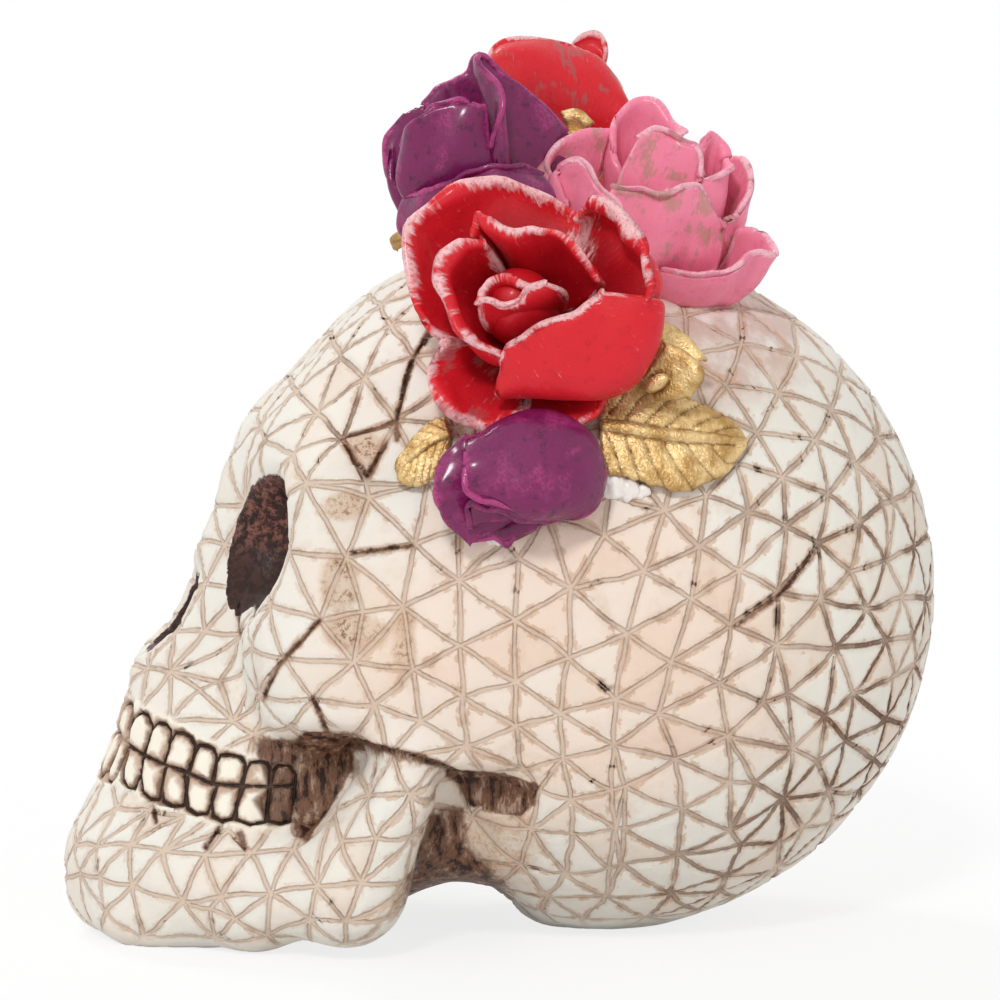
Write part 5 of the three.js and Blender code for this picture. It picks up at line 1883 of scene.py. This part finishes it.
@dataclass
class Rose:
    """One flower: a core and its petals as a single piece."""

    bench: Bench
    flower: Flower
    thickness: float = 2.0
    rim_share: float = 0.5
    root_radius: float = 2.5
    least_curl: float = 0.6
    curl_turn: float = math.radians(110)
    round_steps: int = 30
    up_steps: int = 16
    curl_steps: int = 6
    core_shape: tuple[int, int] = (24, 12)
    core_share: float = 0.86
    broad_wave: tuple[float, float] = (11.0, 0.7)
    fine_wave: tuple[float, float] = (5.5, 0.35)

    def build(self) -> bpy.types.Object:
        """Build the flower.

        Returns:
            The piece.
        """
        points, faces, values = self.core()
        for number, petal in enumerate(self.flower.petals):
            spots, quads, numbers = self.petal(petal, number)
            faces = faces + (quads + len(points)).tolist()
            points = np.concatenate([points, spots])
            values = {key: np.concatenate([values[key], numbers[key]]) for key in values}
        name = f"{self.flower.name}_form"
        return self.bench.piece(name, points, faces, self.flower.finish, values, self.flower.name)

    @property
    def root(self) -> Array:
        """Where the petals start."""
        return PHOTO.places([self.flower.root], [self.flower.root_toward])[0]

    @property
    def heart(self) -> Array:
        """The flower's middle at its open end."""
        return PHOTO.places([self.flower.heart], [self.flower.heart_toward])[0]

    def core(self) -> tuple[Array, Faces, Stored]:
        """Make the lump that all petals grow from.

        Returns:
            The vertices, the faces, and the numbers to store at the vertices.
        """
        work = bmesh.new()
        bmesh.ops.create_uvsphere(work, u_segments=self.core_shape[0], v_segments=self.core_shape[1], radius=1.0)
        points, faces = mesh_arrays(work)
        along = self.heart - self.root
        turn = np.array(Vector((0, 0, 1)).rotation_difference(Vector(along)).to_matrix())
        radius = self.flower.core * HALF_WIDTH * self.core_share
        scaled = points * [radius, radius, np.linalg.norm(along) / 2]
        placed = scaled @ turn.T + (self.root + self.heart) / 2
        # The core takes a little of the petals' painted shade
        plain = {"rim": 9.0, "inner": 1.0, "deep": 0.3, "brush": 0.5}
        plain |= {"vein": 0.0, "across": 0.0, "up": 0.0, "stain": 0.0}
        return placed, faces, {key: np.full(len(points), value) for key, value in plain.items()}

    def petal(self, petal: Petal, number: int) -> tuple[Array, Array, Stored]:
        """Make one petal.

        Args:
            petal: The petal's rim and belly.
            number: Which petal of the flower it is.

        Returns:
            The vertices, the faces, and the numbers to store at the vertices.
        """
        across = end_steps(self.round_steps, (0.004, 0.014, 0.03))
        grid = self.grid(petal, across)
        spots = grid.reshape(-1, 3)
        broad = ripple(spots, self.broad_wave[0], 40 + number).reshape(grid.shape[:2])
        fine = ripple(spots, self.fine_wave[0], 60 + number).reshape(grid.shape[:2])
        up = np.linspace(0, 1, len(grid))[:, None]
        waves = broad * self.broad_wave[1] * up + fine * self.fine_wave[1] * up**2
        grid = grid + Sheet(grid, 1.0).normals() * waves[..., None]
        points, faces, values = Sheet(grid, self.thickness, self.rim_share).mesh()
        # Painted shade: strongest at the root, gone towards the rim, full on each petal's inner face
        deep = np.repeat(1 - smooth_step(np.linspace(0, 1, len(grid)), 0.1, 0.75), grid.shape[1])
        axis = unit(self.heart - self.root)
        out = grid - self.root
        out = (out - (out @ axis)[..., None] * axis).reshape(-1, 3)
        half = len(points) // 2
        outer = smooth_step(np.sum((points[:half] - points[half:]) * out, 1), -0.5, 0.5)
        values["deep"] = np.concatenate([deep * (1 - 0.85 * outer), deep * (0.15 + 0.85 * outer)])
        values["brush"] = np.full(len(points), petal.brush)
        values["stain"] = np.full(len(points), petal.stain)
        values["vein"] = np.tile(np.clip(1 - values["rim"][: len(deep)] / 1.2, 0, 1) * 0.2, 2)
        return points, faces, values

    def grid(self, petal: Petal, across: Array) -> Array:
        """Lay the petal's middle surface.

        Args:
            petal: The petal's rim and belly.
            across: The shares along the rim.

        Returns:
            The grid's places, in rows from the root to the rim.
        """
        root, heart = self.root, self.heart
        axis = unit(heart - root)
        rim = spline(PHOTO.places(petal.rim, np.array(petal.toward) / 100), across)
        rim = rim + unit(heart - rim) * self.thickness / 2
        curls = np.array(petal.curls) / 100
        curl = np.interp(across * (len(curls) - 1), np.arange(len(curls)), curls) * HALF_WIDTH
        curl = np.maximum(curl, self.least_curl)[:, None]
        reach = rim - root
        height = (reach @ axis)[:, None] * axis
        spread = reach - height
        start = root + unit(spread) * self.root_radius
        belly = root + spread * petal.belly[0] + height * petal.belly[1]
        if petal.belly_line:
            middle = PHOTO.places(petal.belly_line, np.array(petal.belly_toward) / 100)
            belly = 2 * spline(middle, across) - (start + rim) / 2
        growth = unit(rim - belly)
        outward = rim - heart
        outward = unit(outward - growth * np.sum(outward * growth, 1, keepdims=True))
        turn_start = rim - growth * curl
        rows = []
        for share in end_steps(self.up_steps, (0.02,))[:-1]:
            rows.append(start * (1 - share) ** 2 + belly * 2 * share * (1 - share) + turn_start * share**2)
        for turn in np.linspace(0, self.curl_turn, self.curl_steps + 1):
            rows.append(turn_start + growth * curl * math.sin(turn) + outward * curl * (1 - math.cos(turn)))
        return np.stack(rows)


@dataclass(frozen=True)
class LeafOutline:
    """A flat leaf by its midrib and the two sides of its outline, in pixels from its base to its tip."""

    name: str
    midrib: Pixels
    upper: Pixels
    lower: Pixels


LARGE_LEAF = LeafOutline(
    "leaf_large",
    ((598, 428), (632, 434), (666, 440), (706, 443), (743, 446)),
    ((600, 400), (618, 388), (634, 383), (655, 390), (671, 399), (695, 406), (714, 416), (731, 427), (743, 445)),
    ((601, 474), (610, 478), (622, 480), (637, 484), (659, 491), (683, 495), (702, 486), (720, 478), (743, 447)),
)
LEFT_LEAF = LeafOutline(
    "leaf_left",
    ((453, 436), (436, 444), (420, 456), (408, 466), (399, 476)),
    ((448, 420), (433, 426), (420, 438), (411, 450), (398, 467), (399, 475)),
    ((450, 462), (440, 474), (430, 483), (420, 488), (402, 484), (400, 477)),
)


@dataclass
class FlatLeaf:
    """A gold leaf that lies on the skull, with a midrib and side veins."""

    bench: Bench
    form: SkullForm
    outline: LeafOutline
    seat: float = 0.36
    thickness: float = 1.5
    veins: float = 7.0
    vein_slant: float = 1.7
    vein_depth: float = 0.45
    rib_half: float = 0.11
    rib_height: float = 0.35
    bow_height: float = 1.1
    tooth_count: int = 9
    tooth_depth: float = 0.05
    along_steps: int = 60
    across_steps: int = 36

    def build(self) -> bpy.types.Object:
        """Build the leaf.

        Returns:
            The piece.
        """
        along = end_steps(self.along_steps, (0.01,))
        across = end_steps(self.across_steps, (0.012, 0.035)) * 2 - 1
        midrib = self.flat(self.outline.midrib, along)
        upper = self.flat(self.outline.upper, along)
        lower = self.flat(self.outline.lower, along)
        share = np.abs(across)[None, :, None]
        side = np.where(across[None, :, None] < 0, upper[:, None], lower[:, None])
        notches = np.abs(np.sin(along * math.pi * self.tooth_count))[:, None, None]
        teeth = 1 - self.tooth_depth * notches * share**6
        pixels = midrib[:, None] + (side - midrib[:, None]) * share * teeth
        grid = self.form.seen_at(pixels.reshape(-1, 2))
        normals = self.form.normals(grid)
        aside = np.abs(across)[None]
        ways = along[:, None] * self.veins - aside * self.vein_slant
        crease = np.abs(ways - np.round(ways)) * 2
        rib = smooth_step(aside, self.rib_half, 0.03)
        vein = smooth_step(1 - crease, 0.72, 0.97) * (1 - rib)
        vein = np.maximum(vein, smooth_step(np.abs(aside - self.rib_half), 0.05, 0.0))
        bow = np.sqrt(np.maximum(1 - aside**2, 0)) * np.sin(math.pi * np.clip(along, 0.05, 0.97))[:, None] ** 0.5
        lift = self.seat + self.thickness * 0.5 + self.bow_height * bow
        lift = lift + self.rib_height * rib - self.vein_depth * vein * bow
        grid = grid + normals * lift.reshape(-1, 1)
        points, faces, values = Sheet(grid.reshape(len(along), len(across), 3), self.thickness).mesh()
        values["vein"] = np.tile(vein.reshape(-1), 2)
        name = f"{self.outline.name}_form"
        return self.bench.piece(name, points, faces, Finish.GOLD, values, self.outline.name)

    def flat(self, pixels: Pixels, shares: Array) -> Array:
        """Follow a line of pixels."""
        deep = np.concatenate([np.asarray(pixels, float), np.zeros((len(pixels), 1))], 1)
        return spline(deep, shares)[:, :2]


@dataclass
class GlueBed:
    """The mound of set glue that the flowers stand in, and the drips of it beside the leaves."""

    bench: Bench
    form: SkullForm
    at: Triple = (0.05, 0.1, 0.97)
    reach: Triple = (0.46, 0.28, 0.08)
    drips: tuple[Triple, ...] = (
        (604, 483, 2.0), (616, 486, 2.5), (629, 489, 2.1), (641, 492, 1.3), (429, 470, 1.9), (437, 477, 1.2),
        (493, 537, 1.5),
    )
    drip_height: float = 0.45
    mound_wave: Triple = (9.0, 0.5, -0.4)
    drip_wave: tuple[float, float] = (1.6, 0.4)

    def build(self) -> bpy.types.Object:
        """Build the mound and the drips.

        Returns:
            The piece.
        """
        directions, faces = self.ball(5)
        points = directions * (np.array(self.reach) * SHARES) + np.array(self.at) * SHARES
        size, height, lift = self.mound_wave
        meshes = [(points + directions * (ripple(points, size, 61) * height + lift)[:, None], faces)]
        directions, faces = self.ball(3)
        flat = directions - (1 - self.drip_height) * (directions @ PHOTO.toward)[:, None] * PHOTO.toward
        size, height = self.drip_wave
        for across, down, reach in self.drips:
            points = self.form.seen_at([(across, down)])[0] + flat * reach
            meshes.append((points + flat * (ripple(points, size, 62) * height)[:, None], faces))
        joined, count = [], 0
        for points, faces in meshes:
            joined += [[count + corner for corner in face] for face in faces]
            count += len(points)
        points = np.concatenate([points for points, _ in meshes])
        return self.bench.piece("glue_mound", points, joined, Finish.GLUE, {}, "glue_bed")

    def ball(self, splits: int) -> tuple[Array, Faces]:
        """Give the vertices and faces of a round ball of radius 1."""
        work = bmesh.new()
        bmesh.ops.create_icosphere(work, subdivisions=splits, radius=1.0)
        return mesh_arrays(work)


@dataclass
class Plug:
    """The plug in the casting's pouring hole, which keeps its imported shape."""

    bench: Bench
    nodes: dict[str, bpy.types.Object]

    def dress(self) -> None:
        """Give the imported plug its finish."""
        plug = self.nodes["base_plug"]
        material = self.bench.finishes.material(Finish.RESIN)
        if not plug.material_slots:
            plug.data.materials.append(material)
        for slot in plug.material_slots:
            slot.material = material
        LOG.info("base_plug: packed shape")


def seen_whole(shader: Shader) -> Socket:
    """Give 1 for what the camera sees, also by reflection or through glass, and 0 for what only lights."""
    kinds = ("Is Camera Ray", "Is Glossy Ray", "Is Transmission Ray")
    camera, glossy, through = (shader.number("ShaderNodeLightPath", {}, {}, kind) for kind in kinds)
    return (camera + glossy + through).clamped()


@dataclass
class Stage:
    """The pale floor, the soft light and the camera."""

    offset: Array
    floor_half: float = 6.0
    floor_colour: Colour = (0.93, 0.93, 0.93, 1.0)
    floor_white: float = 0.8
    white: Colour = (1.0, 1.0, 1.0, 1.0)
    sky: float = 0.62
    lamps: tuple[tuple[str, Triple, float, float], ...] = (
        ("key_light", (38, -12, -52), 0.8, 14),
        ("side_light", (52, 0, 70), 1.25, 9),
    )

    def build(self) -> None:
        """Build the floor, the light and the camera."""
        self.floor()
        self.world()
        for lamp in self.lamps:
            self.lamp(*lamp)
        self.camera()

    def floor(self) -> None:
        """Lay the floor."""
        corners = [(across, along, 0) for across, along in ((-1, -1), (1, -1), (1, 1), (-1, 1))]
        mesh = bpy.data.meshes.new("floor")
        mesh.from_pydata((np.array(corners) * self.floor_half).tolist(), [], [(0, 1, 2, 3)])
        made = bpy.data.objects.new("floor", mesh)
        bpy.context.scene.collection.objects.link(made)
        shader = Shader("floor_paper")
        worn = tuple(value * 0.995 for value in self.floor_colour)
        tone = shader.mix(shader.noise(400.0, 2.0), self.floor_colour, worn)
        lit = shader.number("ShaderNodeBsdfDiffuse", {}, {"Color": tone}, 0)
        paper = shader.number("ShaderNodeEmission", {}, {"Color": self.white, "Strength": 1.0}, 0)
        seen = seen_whole(shader) * self.floor_white
        surface = shader.number("ShaderNodeMixShader", {}, {0: seen, 1: lit, 2: paper}, 0)
        shader.node("ShaderNodeOutputMaterial", {}, {"Surface": surface})
        mesh.materials.append(shader.owner)

    def world(self) -> None:
        """Light everything evenly, on a white background."""
        world = bpy.data.worlds.new("studio")
        bpy.context.scene.world = world
        shader = Shader("studio", world)
        soft = shader.number("ShaderNodeBackground", {}, {"Color": self.white, "Strength": self.sky}, 0)
        full = shader.number("ShaderNodeBackground", {}, {"Color": self.white, "Strength": 1.0}, 0)
        surface = shader.number("ShaderNodeMixShader", {}, {0: seen_whole(shader), 1: soft, 2: full}, 0)
        shader.node("ShaderNodeOutputWorld", {}, {"Surface": surface})

    def lamp(self, name: str, angles: Triple, strength: float, spread: float) -> None:
        """Add a broad distant lamp.

        Args:
            name: The lamp's name.
            angles: How it is turned about X, Y and Z, in degrees.
            strength: Its strength.
            spread: How wide it looks, in degrees.
        """
        data = bpy.data.lights.new(name, "SUN")
        data.energy = strength
        data.angle = math.radians(spread)
        made = bpy.data.objects.new(name, data)
        made.rotation_euler = [math.radians(angle) for angle in angles]
        bpy.context.scene.collection.objects.link(made)

    def camera(self) -> None:
        """Place the camera of the photograph."""
        data = bpy.data.cameras.new("camera")
        data.sensor_width = 36.0
        data.lens = data.sensor_width * PHOTO.distance / (2 * PHOTO.middle * PHOTO.pixel)
        data.clip_start, data.clip_end = 0.01, 100.0
        made = bpy.data.objects.new("camera", data)
        bpy.context.scene.collection.objects.link(made)
        turn = Matrix(np.stack([PHOTO.right, PHOTO.up, PHOTO.toward], 1).tolist()).to_4x4()
        spot = (PHOTO.aim + PHOTO.toward * PHOTO.distance + self.offset) / METRE
        made.matrix_world = Matrix.Translation(Vector(spot.tolist())) @ turn
        bpy.context.scene.camera = made


def main() -> None:
    """Build the sugar skull and its stage."""
    logging.basicConfig(level=logging.INFO, format="%(name)s: %(message)s")
    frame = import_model()
    low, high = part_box("base_plug")
    plug_middle = np.array([0.0, PLUG_SHARE * HALF_LENGTH, 0.0])
    offset = np.array([(low[0] + high[0]) / 2, (low[1] + high[1]) / 2, 0.0]) * METRE - plug_middle
    bench = Bench(offset, Finishes())
    Stage(offset).build()
    skull = Skull(bench)
    skull.build()
    GlueBed(bench, skull.form).build()
    for flower in (RED_FRONT_ROSE, PINK_ROSE, PURPLE_TOP_ROSE, RED_BACK_ROSE, PURPLE_SIDE_BUD, *CURLED_LEAVES):
        Rose(bench, flower).build()
    for outline in (LARGE_LEAF, LEFT_LEAF):
        FlatLeaf(bench, skull.form, outline).build()
    Plug(bench, frame["nodes"]).dress()
    bpy.context.scene.view_settings.view_transform = "Standard"


if __name__ == "__main__":
    main()
